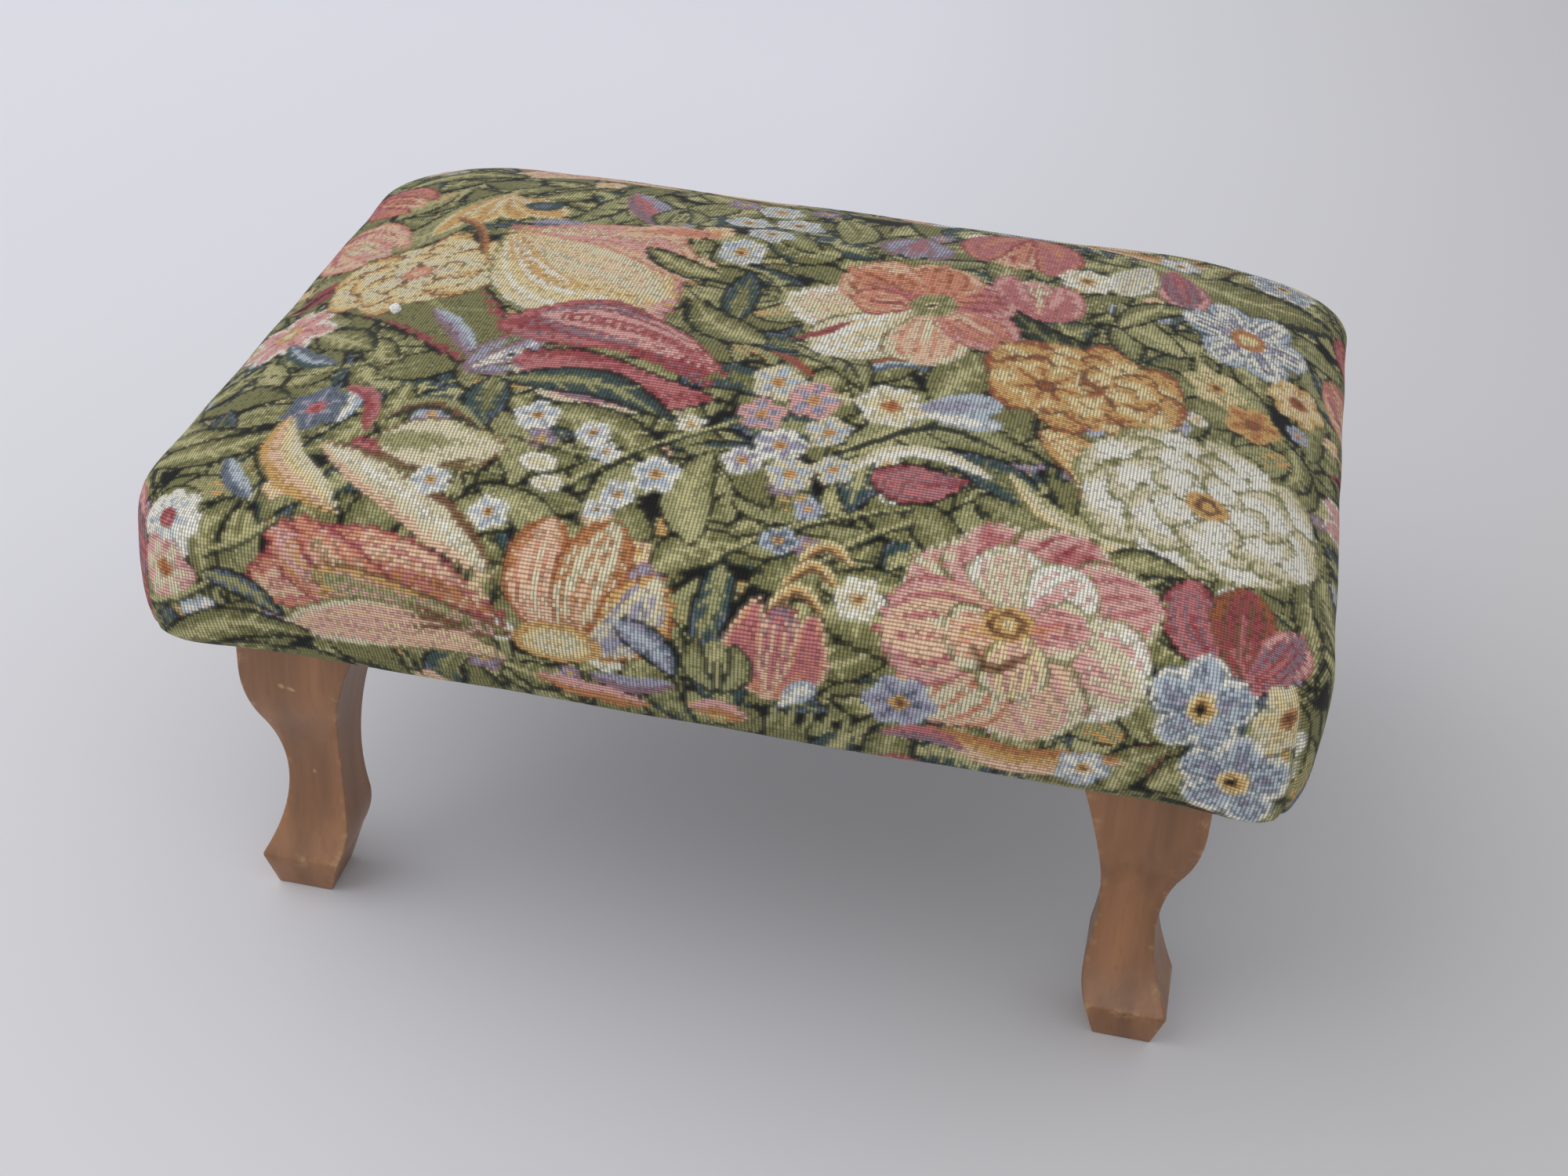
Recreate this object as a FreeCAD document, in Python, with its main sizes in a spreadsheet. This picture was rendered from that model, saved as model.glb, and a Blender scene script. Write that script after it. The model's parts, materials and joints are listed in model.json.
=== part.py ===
import FreeCAD, Part
import math
import os
import Sketcher

# Upholstered footstool with four sawn cabriole legs.
# Millimetres. +X runs along the length, the front faces -Y, +Z is up.
# The origin is on the floor, under the middle of the cushion.

os.makedirs("parts", exist_ok=True)
doc = FreeCAD.newDocument("footstool")

DIMENSIONS = [
    ("cushion_length", 400, "over the widest line of the cover, left to right"),
    ("cushion_width", 298, "over the widest line of the cover, front to back"),
    ("crown_level", 212, "floor to the top of the crown"),
    ("widest_level", 168, "floor to the line where the sides stand out most"),
    ("hem_draw_in", 7.5, "how far the sides are drawn in at the hem, on each side"),
    ("cover_corner_radius", 34, "corner of the cover in plan at its widest line"),
    ("hem_corner_radius", 19, "corner of the cover in plan at the hem"),
    ("cover_thickness", 1.6, "tapestry cloth"),
    ("hem_width", 24, "cloth turned under the frame"),
    ("wadding_thickness", 7, "wrap between the foam and the cover"),
    ("wadding_lower_level", 137, "floor to the trimmed lower edge of the wadding"),
    ("layer_clearance", 0.3, "between soft layers"),
    ("frame_clearance", 0.9, "from the inside of the cover at the hem to the rails"),
    ("frame_corner_radius", 17, "rounded outer corners of the frame"),
    ("rail_height", 40, "height of a rail"),
    ("rail_thickness", 20, "thickness of a rail"),
    ("webbing_width", 50, "webbing strap"),
    ("webbing_thickness", 1.2, "webbing strap"),
    ("webbing_ramp", 12, "length over which a strap climbs over another"),
    ("webbing_margin", 2, "from the edge of a crossing to the start of the climb"),
    ("webbing_end_margin", 5, "from the end of a strap to the outside of the frame"),
    ("long_strap_pitch", 100, "between the two lengthwise straps"),
    ("cross_strap_pitch", 105, "between neighbouring crosswise straps"),
    ("hessian_thickness", 0.8, "hessian over the webbing"),
    ("hessian_margin", 4, "from the edge of the hessian to the outside of the frame"),
    ("dust_cover_thickness", 0.8, "cloth under the frame"),
    ("dust_cover_margin", 5, "from the edge of the dust cover to the outside of the frame"),
    ("leg_height", 125, "floor to the top face of a leg"),
    ("leg_blank", 48, "side of the square blank that a leg is sawn from"),
    ("leg_inset_length", 19, "from the end of the frame to the face of a knee"),
    ("leg_inset_width", 17, "from the front or back of the frame to the face of a knee"),
    ("knee_level", 103, "floor to where the knee starts to turn in"),
    ("ankle_level", 50, "floor to the thinnest place of the outer curve"),
    ("ankle_depth", 11, "how deep the outer curve is sawn"),
    ("ankle_radius", 70, "hollow above the toe"),
    ("toe_level", 15.5, "floor to the sharp edge round the toe"),
    ("sole_setback", 6, "from the face of the blank to the outer edge of the sole"),
    ("sole_width", 21, "side of the sole on the floor"),
    ("waist_depth", 32, "from the outer face of the blank to the thinnest place inside"),
    ("waist_level", 55, "floor to the thinnest place of the inner curve"),
    ("heel_level", 28, "floor to the fullest place of the heel"),
    ("heel_radius", 30, "round of the heel"),
    ("block_side", 75, "side of a corner block along a rail"),
    ("block_nose", 10, "thickness of a corner block at its thin ends"),
    ("block_height", 26, "height of a corner block"),
    ("screw_offset", 50, "from the inner corner of the frame to a block screw"),
    ("screw_seat", 12, "block thickness left under a screw head"),
    ("screw_head_radius", 4, "block screw head"),
    ("screw_head_height", 3, "block screw head"),
    ("screw_radius", 2, "block screw shank"),
    ("screw_reach", 14, "how far a block screw goes into a rail"),
    ("dowel_radius", 4, "rail dowel"),
    ("dowel_reach_end", 24, "how far a dowel goes into the end of a side rail"),
    ("dowel_reach_face", 12, "how far a dowel goes into a front or back rail"),
    ("dowel_spacing", 18, "between the two dowels of a corner joint"),
    ("bolt_radius", 4, "hanger bolt"),
    ("bolt_reach", 35, "how far a hanger bolt goes into its leg"),
    ("bolt_beyond_nut", 2, "thread that stands above the nut"),
    ("washer_radius", 8, "washer on the corner block"),
    ("washer_thickness", 1.6, "washer on the corner block"),
    ("nut_across_flats", 13, "nut of the hanger bolt"),
    ("nut_height", 6.5, "nut of the hanger bolt"),
    ("drill_clearance", 0.15, "between a fastener and its hole, all round"),
]

sheet = doc.addObject("Spreadsheet::Sheet", "sizes")
for row, (alias, value, note) in enumerate(DIMENSIONS, start=1):
    sheet.set(f"A{row}", note)
    sheet.set(f"B{row}", str(value))
    sheet.setAlias(f"B{row}", alias)
doc.recompute()


class Size:
    """A length and the expression on the sheet that gives it."""

    def __init__(self, value, text):
        self.value = value
        self.text = text

    def __add__(self, other):
        other = as_size(other)
        return Size(self.value + other.value, f"({self.text} + {other.text})")

    def __sub__(self, other):
        other = as_size(other)
        return Size(self.value - other.value, f"({self.text} - {other.text})")

    def __mul__(self, other):
        other = as_size(other)
        return Size(self.value * other.value, f"({self.text} * {other.text})")

    def __truediv__(self, other):
        other = as_size(other)
        return Size(self.value / other.value, f"({self.text} / {other.text})")

    def __neg__(self):
        return Size(-self.value, f"(0 - {self.text})")


def as_size(thing):
    if isinstance(thing, Size):
        return thing
    return Size(float(thing), f"{float(thing):.6f}")


def root(thing):
    return Size(math.sqrt(thing.value), f"sqrt({thing.text})")


def dim(alias):
    return Size(float(sheet.get(alias)), f"sizes.{alias}")


ZERO = as_size(0)

# Levels that several pieces share
leg_top = dim("leg_height")
hem_bottom = leg_top + dim("dust_cover_thickness")
frame_bottom = hem_bottom + dim("cover_thickness")
frame_top = frame_bottom + dim("rail_height")
webbing_top = frame_top + dim("webbing_thickness") * 2
hessian_top = webbing_top + dim("hessian_thickness")
block_top = frame_bottom + dim("block_height")

half_cushion_length = dim("cushion_length") / 2
half_cushion_width = dim("cushion_width") / 2
frame_depth = dim("hem_draw_in") + dim("cover_thickness") + dim("frame_clearance")
half_frame_length = half_cushion_length - frame_depth
half_frame_width = half_cushion_width - frame_depth
knee_x = half_frame_length - dim("leg_inset_length")
knee_y = half_frame_width - dim("leg_inset_width")
corner_x = half_frame_length - dim("rail_thickness")
corner_y = half_frame_width - dim("rail_thickness")
bolt_x = knee_x - dim("leg_blank") / 2
bolt_y = knee_y - dim("leg_blank") / 2
hole_growth = dim("drill_clearance")

# The names of the kept pieces, in the order in which they are made
kept = []


def keep(thing, label):
    thing.Label = label
    kept.append(thing)
    return thing


def bind(thing, **sizes):
    for place, size in sizes.items():
        thing.setExpression(place, as_size(size).text)


def put(thing, x=0, y=0, z=0):
    thing.setExpression("Placement.Base.x", as_size(x).text)
    thing.setExpression("Placement.Base.y", as_size(y).text)
    thing.setExpression("Placement.Base.z", as_size(z).text)


# Sketches

def new_body(name):
    return doc.addObject("PartDesign::Body", name)


def new_sketch(owner, name, plane, offset=ZERO):
    """A sketch on one of the body's own planes, moved along the plane's normal."""
    sketch = owner.newObject("Sketcher::SketchObject", name)
    base = next(item for item in owner.Origin.OriginFeatures if item.Role == plane)
    sketch.AttachmentSupport = [(base, "")]
    sketch.MapMode = "FlatFace"
    sketch.AttachmentOffset.Base.z = offset.value
    sketch.setExpression("AttachmentOffset.Base.z", offset.text)
    return sketch


def vector(point):
    return FreeCAD.Vector(point[0].value, point[1].value, 0)


def line(start, end):
    return start, end, None, None


def arc(start, end, radius, centre):
    """An arc of under a half circle round a centre."""
    return start, end, radius, centre


def angle_about(centre, point):
    return math.atan2(point.y - centre.y, point.x - centre.x)


def draw_edge(sketch, start, end, radius, centre):
    """Adds one line or arc, and returns which of its two ends is the start and which the end."""
    first = vector(start)
    last = vector(end)
    if radius is None:
        sketch.addGeometry(Part.LineSegment(first, last), False)
        return 1, 2
    middle = vector(centre)
    circle = Part.Circle(middle, FreeCAD.Vector(0, 0, 1), radius.value)
    first_angle = angle_about(middle, first)
    last_angle = angle_about(middle, last)
    turns_left = (first - middle).cross(last - middle).z > 0
    if turns_left:
        sketch.addGeometry(Part.ArcOfCircle(circle, first_angle, last_angle), False)
        return 1, 2
    sketch.addGeometry(Part.ArcOfCircle(circle, last_angle, first_angle), False)
    return 2, 1


def outline(sketch, edges):
    """Draws a closed outline and ties each corner and each radius to the sheet."""
    ends = [draw_edge(sketch, *edge) for edge in edges]
    base = sketch.GeometryCount - len(edges)
    rules = []
    texts = []
    for number, (start, end, radius, centre) in enumerate(edges):
        geometry = base + number
        rules.append(Sketcher.Constraint("DistanceX", -1, 1, geometry, ends[number][0], start[0].value))
        texts.append(start[0].text)
        rules.append(Sketcher.Constraint("DistanceY", -1, 1, geometry, ends[number][0], start[1].value))
        texts.append(start[1].text)
        after = (number + 1) % len(edges)
        rules.append(Sketcher.Constraint("Coincident", geometry, ends[number][1],
                                         base + after, ends[after][0]))
        texts.append(None)
        if radius is not None:
            rules.append(Sketcher.Constraint("Radius", geometry, radius.value))
            texts.append(radius.text)
    first_rule = sketch.ConstraintCount
    sketch.addConstraint(rules)
    for number, text in enumerate(texts):
        if text is not None:
            sketch.setExpression(f"Constraints[{first_rule + number}]", text)
    return sketch


def polygon(sketch, points):
    after = points[1:] + points[:1]
    return outline(sketch, [line(start, end) for start, end in zip(points, after)])


def rounded_rectangle(sketch, half_x, half_y, radius):
    edges = []
    inner_x = half_x - radius
    inner_y = half_y - radius
    edges.append(line((-inner_x, -half_y), (inner_x, -half_y)))
    edges.append(arc((inner_x, -half_y), (half_x, -inner_y), radius, (inner_x, -inner_y)))
    edges.append(line((half_x, -inner_y), (half_x, inner_y)))
    edges.append(arc((half_x, inner_y), (inner_x, half_y), radius, (inner_x, inner_y)))
    edges.append(line((inner_x, half_y), (-inner_x, half_y)))
    edges.append(arc((-inner_x, half_y), (-half_x, inner_y), radius, (-inner_x, inner_y)))
    edges.append(line((-half_x, inner_y), (-half_x, -inner_y)))
    edges.append(arc((-half_x, -inner_y), (-inner_x, -half_y), radius, (-inner_x, -inner_y)))
    return outline(sketch, edges)


def pad(owner, sketch, name, length, backwards=False):
    feature = owner.newObject("PartDesign::Pad", name)
    feature.Profile = sketch
    feature.Length = length.value
    feature.Reversed = backwards
    bind(feature, Length=length)
    return feature


def pocket(owner, sketch, name, depth=None, backwards=False):
    feature = owner.newObject("PartDesign::Pocket", name)
    feature.Profile = sketch
    feature.Reversed = backwards
    if depth is None:
        feature.Type = "ThroughAll"
    else:
        feature.Length = depth.value
        bind(feature, Length=depth)
    return feature


# Solids and booleans

def rod(name, radius, length, x, y, z, along="Z"):
    """A cylinder from a point, along +X, +Y or +Z."""
    thing = doc.addObject("Part::Cylinder", name)
    bind(thing, Radius=radius, Height=length)
    if along == "X":
        thing.Placement.Rotation = FreeCAD.Rotation(FreeCAD.Vector(0, 1, 0), 90)
    if along == "Y":
        thing.Placement.Rotation = FreeCAD.Rotation(FreeCAD.Vector(1, 0, 0), -90)
    put(thing, x, y, z)
    return thing


def slab(name, half_x, half_y, bottom, thickness):
    thing = doc.addObject("Part::Box", name)
    bind(thing, Length=half_x * 2, Width=half_y * 2, Height=thickness)
    put(thing, -half_x, -half_y, bottom)
    return thing


def joined(name, things):
    thing = doc.addObject("Part::MultiFuse", name)
    thing.Shapes = things
    return thing


def cut(name, base, tool):
    thing = doc.addObject("Part::Cut", name)
    thing.Base = base
    thing.Tool = tool
    return thing


def mirrored(name, source, axis):
    """The mirror image through the middle of the stool, left to right (X) or front to back (Y)."""
    thing = doc.addObject("Part::Mirroring", name)
    thing.Source = source
    thing.Normal = FreeCAD.Vector(1, 0, 0) if axis == "X" else FreeCAD.Vector(0, 1, 0)
    return thing


def four_corners(name, source):
    """The piece at the front left corner and its three mirror images, as one group."""
    right = mirrored(f"{name}_right", source, "X")
    back = mirrored(f"{name}_back", source, "Y")
    far = mirrored(f"{name}_far", right, "Y")
    group = doc.addObject("Part::Compound", name)
    group.Links = [source, right, back, far]
    return group


# Soft layers of the cushion

# Each section above the widest line keeps a share of that line's outline.
WALL_STEPS = (0.0, 0.3, 0.65)
DOME_SHARES = (1.0, 0.99, 0.965, 0.92, 0.85, 0.74, 0.6, 0.42, 0.22)
ROLL_PORTION = 0.42
ROLL_POWER = 3.5
CROWN_ROUNDNESS = 0.8
ROUNDING_POWER = 2


def dome_rise(share):
    """The rise above the widest line where the outline has shrunk to a share of itself.

    A part of it is the rolled edge, and the rest is the flatter crown. Together they rise to 1.
    """
    roll = (1 - share ** ROLL_POWER) ** (1 / ROLL_POWER)
    crown = 1 - share ** 2
    return ROLL_PORTION * roll + (1 - ROLL_PORTION) * crown


def cushion_section(owner, name, depth, level, half_x, half_y, radius):
    sketch = new_sketch(owner, name, "XY_Plane", level)
    return rounded_rectangle(sketch, half_x - depth, half_y - depth, radius - depth)


def cushion_sections(owner, name, depth, with_wall):
    """Level sections of the cushion's surface, moved inwards by a depth."""
    half_x = half_cushion_length
    half_y = half_cushion_width
    radius = dim("cover_corner_radius")
    widest = dim("widest_level")
    sections = []
    if with_wall:
        bottom = hem_bottom + depth
        for number, step in enumerate(WALL_STEPS):
            inwards = dim("hem_draw_in") * (1 - step) ** 2
            corner = dim("hem_corner_radius") + (radius - dim("hem_corner_radius")) * step
            level = bottom + (widest - bottom) * step
            sections.append(cushion_section(owner, f"{name}_wall_{number}", depth, level,
                                            half_x - inwards, half_y - inwards, corner))
    for number, share in enumerate(DOME_SHARES):
        step = dome_rise(share) / dome_rise(DOME_SHARES[-1])
        level = widest + (dim("crown_level") - depth - widest) * step
        across = (half_y - depth) * share
        rounding = step ** ROUNDING_POWER
        corner = (radius - depth) * (1 - rounding) + across * (CROWN_ROUNDNESS * rounding)
        sections.append(cushion_section(owner, f"{name}_dome_{number}", ZERO, level,
                                        (half_x - depth) * share, across, corner))
    return sections


def cushion_loft(owner, name, kind, depth, with_wall):
    sections = cushion_sections(owner, name, depth, with_wall)
    feature = owner.newObject(f"PartDesign::{kind}Loft", name)
    feature.Profile = sections[0]
    feature.Sections = sections[1:]
    return feature


def tapestry_cover():
    """A closed skin, drawn in at the hem and turned under the frame round an opening."""
    owner = new_body("cover_body")
    cushion_loft(owner, "cover_outside", "Additive", ZERO, True)
    cushion_loft(owner, "cover_inside", "Subtractive", dim("cover_thickness"), True)
    mouth = new_sketch(owner, "cover_mouth", "XY_Plane", frame_bottom)
    rounded_rectangle(mouth, half_frame_length - dim("hem_width"),
                      half_frame_width - dim("hem_width"), dim("frame_corner_radius"))
    pocket(owner, mouth, "cover_opening")
    return keep(owner, "tapestry_cover")


def wadding():
    """A soft wrap over the foam and down the outside of the rails."""
    depth = dim("cover_thickness") + dim("layer_clearance")
    owner = new_body("wadding_body")
    cushion_loft(owner, "wadding_outside", "Additive", depth, True)
    inner = depth + dim("wadding_thickness")
    cushion_loft(owner, "wadding_inside", "Subtractive", inner, False)
    room = new_sketch(owner, "frame_room", "XY_Plane", hessian_top)
    gap = dim("layer_clearance")
    rounded_rectangle(room, half_frame_length + gap, half_frame_width + gap,
                      dim("frame_corner_radius") + gap)
    pocket(owner, room, "frame_space")
    trim = new_sketch(owner, "lower_edge", "XY_Plane", dim("wadding_lower_level"))
    rounded_rectangle(trim, half_cushion_length, half_cushion_width, dim("hem_corner_radius"))
    pocket(owner, trim, "lower_trim")
    return keep(owner, "wadding_wrap")


def foam_pad():
    depth = dim("cover_thickness") + dim("wadding_thickness") + dim("layer_clearance") * 2
    owner = new_body("foam_body")
    cushion_loft(owner, "foam_shape", "Additive", depth, False)
    seat = new_sketch(owner, "foam_seat", "XY_Plane", hessian_top)
    rounded_rectangle(seat, half_cushion_length, half_cushion_width, dim("cover_corner_radius"))
    pocket(owner, seat, "foam_base")
    return keep(owner, "foam_pad")


def hessian_cloth():
    margin = dim("hessian_margin")
    sheet_of_cloth = slab("hessian_sheet", half_frame_length - margin, half_frame_width - margin,
                          webbing_top, dim("hessian_thickness"))
    return keep(sheet_of_cloth, "hessian_cloth")


# Webbing

def strap_outline(sketch, half_run, crossings):
    """The side view of a strap that climbs over some crossings and passes under the others."""
    low = frame_top
    high = frame_top + dim("webbing_thickness")
    reach = dim("webbing_width") / 2 + dim("webbing_margin")
    path = [(-half_run, low)]
    for place, over in crossings:
        if not over:
            continue
        path.append((place - reach - dim("webbing_ramp"), low))
        path.append((place - reach, high))
        path.append((place + reach, high))
        path.append((place + reach + dim("webbing_ramp"), low))
    path.append((half_run, low))
    upper = [(along, level + dim("webbing_thickness")) for along, level in reversed(path)]
    return polygon(sketch, path + upper)


def long_strap(label, across, overs):
    owner = new_body(f"{label}_body")
    pitch = dim("cross_strap_pitch")
    half_width = dim("webbing_width") / 2
    sketch = new_sketch(owner, f"{label}_side", "XZ_Plane", half_width - across)
    places = (-pitch, ZERO, pitch)
    strap_outline(sketch, half_frame_length - dim("webbing_end_margin"), list(zip(places, overs)))
    pad(owner, sketch, f"{label}_strip", dim("webbing_width"), backwards=True)
    return keep(owner, label)


def cross_strap(label, along, overs):
    owner = new_body(f"{label}_body")
    pitch = dim("long_strap_pitch")
    half_width = dim("webbing_width") / 2
    sketch = new_sketch(owner, f"{label}_side", "YZ_Plane", along - half_width)
    places = (-pitch / 2, pitch / 2)
    strap_outline(sketch, half_frame_width - dim("webbing_end_margin"), list(zip(places, overs)))
    pad(owner, sketch, f"{label}_strip", dim("webbing_width"))
    return keep(owner, label)


def webbing():
    """Two long and three cross straps, woven: where one goes over, the other goes under."""
    half_pitch = dim("long_strap_pitch") / 2
    pitch = dim("cross_strap_pitch")
    long_strap("webbing_long_front", -half_pitch, (True, False, True))
    long_strap("webbing_long_back", half_pitch, (False, True, False))
    cross_strap("webbing_cross_left", -pitch, (False, True))
    cross_strap("webbing_cross_middle", ZERO, (True, False))
    cross_strap("webbing_cross_right", pitch, (False, True))


# Frame

def dowel_levels():
    middle = frame_bottom + dim("rail_height") / 2
    offset = dim("dowel_spacing") / 2
    return middle - offset, middle + offset


def dowel_rods(name, growth):
    """The two dowels of the front left joint, or their holes where they are grown."""
    start = -(corner_y + dim("dowel_reach_face")) - growth
    length = dim("dowel_reach_face") + dim("dowel_reach_end") + growth * 2
    middle_of_rail = -(half_frame_length - dim("rail_thickness") / 2)
    rods = []
    for number, level in enumerate(dowel_levels()):
        rods.append(rod(f"{name}_{number}", dim("dowel_radius") + growth, length,
                        middle_of_rail, start, level, along="Y"))
    return joined(name, rods)


def screw_shank(name, growth, into):
    """The shank of a block screw at the front left corner, into the front or the side rail."""
    level = frame_bottom + dim("block_height") / 2
    length = dim("screw_seat") + dim("screw_reach") + growth
    radius = dim("screw_radius") + growth
    if into == "front":
        return rod(name, radius, length, dim("screw_offset") - corner_x,
                   -(corner_y + dim("screw_reach")) - growth, level, along="Y")
    return rod(name, radius, length, -(corner_x + dim("screw_reach")) - growth,
               dim("screw_offset") - corner_y, level, along="X")


def screw_head(name, radius, length, into):
    level = frame_bottom + dim("block_height") / 2
    if into == "front":
        return rod(name, radius, length, dim("screw_offset") - corner_x,
                   dim("screw_seat") - corner_y, level, along="Y")
    return rod(name, radius, length, dim("screw_seat") - corner_x,
               dim("screw_offset") - corner_y, level, along="X")


def rails():
    """The front and back rails run the full length; the side rails stand between them."""
    owner = new_body("front_rail_body")
    plan = new_sketch(owner, "front_rail_plan", "XY_Plane", frame_bottom)
    radius = dim("frame_corner_radius")
    outer = -half_frame_width
    shoulder = outer + radius
    inner = -corner_y
    length = half_frame_length
    end = length - radius
    outline(plan, [
        line((-end, outer), (end, outer)),
        arc((end, outer), (length, shoulder), radius, (end, shoulder)),
        line((length, shoulder), (length, inner)),
        line((length, inner), (-length, inner)),
        line((-length, inner), (-length, shoulder)),
        arc((-length, shoulder), (-end, outer), radius, (-end, shoulder)),
    ])
    pad(owner, plan, "front_rail_bar", dim("rail_height"))
    holes_left = joined("front_rail_holes_left", [
        dowel_rods("front_dowel_holes", hole_growth),
        screw_shank("front_screw_hole", hole_growth, "front"),
    ])
    holes_right = mirrored("front_rail_holes_right", holes_left, "X")
    drilled_left = cut("front_rail_drilled_left", owner, holes_left)
    front = keep(cut("front_rail_drilled", drilled_left, holes_right), "front_rail")
    keep(mirrored("back_rail_mirror", front, "Y"), "back_rail")

    bar = doc.addObject("Part::Box", "left_rail_bar")
    bind(bar, Length=dim("rail_thickness"), Width=corner_y * 2, Height=dim("rail_height"))
    put(bar, -half_frame_length, -corner_y, frame_bottom)
    holes_front = joined("left_rail_holes_front", [
        dowel_rods("left_dowel_holes", hole_growth),
        screw_shank("left_screw_hole", hole_growth, "side"),
    ])
    holes_back = mirrored("left_rail_holes_back", holes_front, "Y")
    drilled_front = cut("left_rail_drilled_front", bar, holes_front)
    left = keep(cut("left_rail_drilled", drilled_front, holes_back), "left_rail")
    keep(mirrored("right_rail_mirror", left, "X"), "right_rail")


def rail_dowels():
    return keep(four_corners("dowel_group", dowel_rods("dowel_pair", ZERO)), "rail_dowels")


def corner_blocks():
    """Three-sided blocks in the corners, bored for the leg bolt and counterbored for two screws."""
    owner = new_body("block_body")
    plan = new_sketch(owner, "block_plan", "XY_Plane", frame_bottom)
    left = -corner_x
    front = -corner_y
    side = dim("block_side")
    nose = dim("block_nose")
    polygon(plan, [
        (left, front),
        (left + side, front),
        (left + side, front + nose),
        (left + nose, front + side),
        (left, front + side),
    ])
    pad(owner, plan, "block_prism", dim("block_height"))
    wide = dim("screw_head_radius") + hole_growth * 2
    holes = joined("block_holes", [
        rod("block_bolt_hole", dim("bolt_radius") + hole_growth, dim("block_height"),
            -bolt_x, -bolt_y, frame_bottom),
        screw_shank("block_front_hole", hole_growth, "front"),
        screw_shank("block_side_hole", hole_growth, "side"),
        screw_head("block_front_counterbore", wide, side, "front"),
        screw_head("block_side_counterbore", wide, side, "side"),
    ])
    block = keep(cut("block_front_left", owner, holes), "corner_block_front_left")
    right = keep(mirrored("block_front_right", block, "X"), "corner_block_front_right")
    keep(mirrored("block_back_left", block, "Y"), "corner_block_back_left")
    keep(mirrored("block_back_right", right, "Y"), "corner_block_back_right")


def block_screws():
    pairs = []
    for into in ("front", "side"):
        shank = screw_shank(f"{into}_shank", ZERO, into)
        head = screw_head(f"{into}_head", dim("screw_head_radius"), dim("screw_head_height"), into)
        pairs.append(joined(f"{into}_screw", [shank, head]))
    pair = doc.addObject("Part::Compound", "screw_pair")
    pair.Links = pairs
    return keep(four_corners("screw_group", pair), "block_screws")


# Legs and their bolts

def leg_outline(sketch, face, inwards):
    """The saw line of a cabriole leg, drawn inwards from the outer face of its blank.

    Outside: knee, hollow ankle, sharp toe, tapered sole. Inside: hollow shin, round heel.
    """
    top = dim("leg_height")
    depth = dim("ankle_depth")
    drop = dim("knee_level") - dim("ankle_level")
    both = (drop * drop + depth * depth) / (depth * 2)
    knee = both - dim("ankle_radius")
    hollow = dim("ankle_radius")
    turn_depth = knee * depth / both
    turn_level = dim("knee_level") - knee * drop / both
    above_toe = dim("ankle_level") - dim("toe_level")
    toe_depth = depth - hollow + root(hollow * hollow - above_toe * above_toe)

    rise = top - dim("waist_level")
    flare = dim("leg_blank") - dim("waist_depth")
    shin = (rise * rise + flare * flare) / (flare * 2)
    heel = dim("heel_radius")
    sweep = shin + heel
    fall = dim("waist_level") - dim("heel_level")
    level_share = root(sweep * sweep - fall * fall)
    heel_depth = dim("waist_depth") + sweep - level_share
    meet_depth = dim("waist_depth") + shin - shin * level_share / sweep
    meet_level = dim("waist_level") - shin * fall / sweep
    above_sole = dim("heel_level") - dim("toe_level")
    back_depth = heel_depth - heel + root(heel * heel - above_sole * above_sole)
    sole_outer = dim("sole_setback")
    sole_inner = sole_outer + dim("sole_width")

    def at(into, level):
        return face + into * inwards, level

    toe = at(toe_depth, dim("toe_level"))
    back = at(back_depth, dim("toe_level"))
    turn = at(turn_depth, turn_level)
    meet = at(meet_depth, meet_level)
    return outline(sketch, [
        line(at(ZERO, top), at(ZERO, dim("knee_level"))),
        arc(at(ZERO, dim("knee_level")), turn, knee, at(knee, dim("knee_level"))),
        arc(turn, toe, hollow, at(depth - hollow, dim("ankle_level"))),
        line(toe, at(sole_outer, ZERO)),
        line(at(sole_outer, ZERO), at(sole_inner, ZERO)),
        line(at(sole_inner, ZERO), back),
        arc(back, meet, heel, at(heel_depth - heel, dim("heel_level"))),
        arc(meet, at(dim("leg_blank"), top), shin, at(dim("waist_depth") + shin, dim("waist_level"))),
        line(at(dim("leg_blank"), top), at(ZERO, top)),
    ])


SAW_MARGIN = 3


def legs():
    """Each leg is sawn twice from a square blank, with the same line on both faces."""
    owner = new_body("leg_body")
    left = -knee_x
    front = -knee_y
    blank = dim("leg_blank")
    first_face = new_sketch(owner, "front_saw_line", "XZ_Plane", -front)
    leg_outline(first_face, left, 1)
    pad(owner, first_face, "first_cut", blank, backwards=True)
    second_face = new_sketch(owner, "side_saw_line", "YZ_Plane")
    leg_outline(second_face, front, 1)
    polygon(second_face, [
        (front - SAW_MARGIN, -as_size(SAW_MARGIN)),
        (front + blank + SAW_MARGIN, -as_size(SAW_MARGIN)),
        (front + blank + SAW_MARGIN, leg_top + SAW_MARGIN),
        (front - SAW_MARGIN, leg_top + SAW_MARGIN),
    ])
    pocket(owner, second_face, "second_cut")
    hole = rod("leg_bolt_hole", dim("bolt_radius") + hole_growth, dim("bolt_reach") + hole_growth,
               -bolt_x, -bolt_y, leg_top - dim("bolt_reach") - hole_growth)
    leg = keep(cut("leg_drilled", owner, hole), "leg_front_left")
    right = keep(mirrored("leg_mirror_right", leg, "X"), "leg_front_right")
    keep(mirrored("leg_mirror_back", leg, "Y"), "leg_back_left")
    keep(mirrored("leg_mirror_far", right, "Y"), "leg_back_right")


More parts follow.
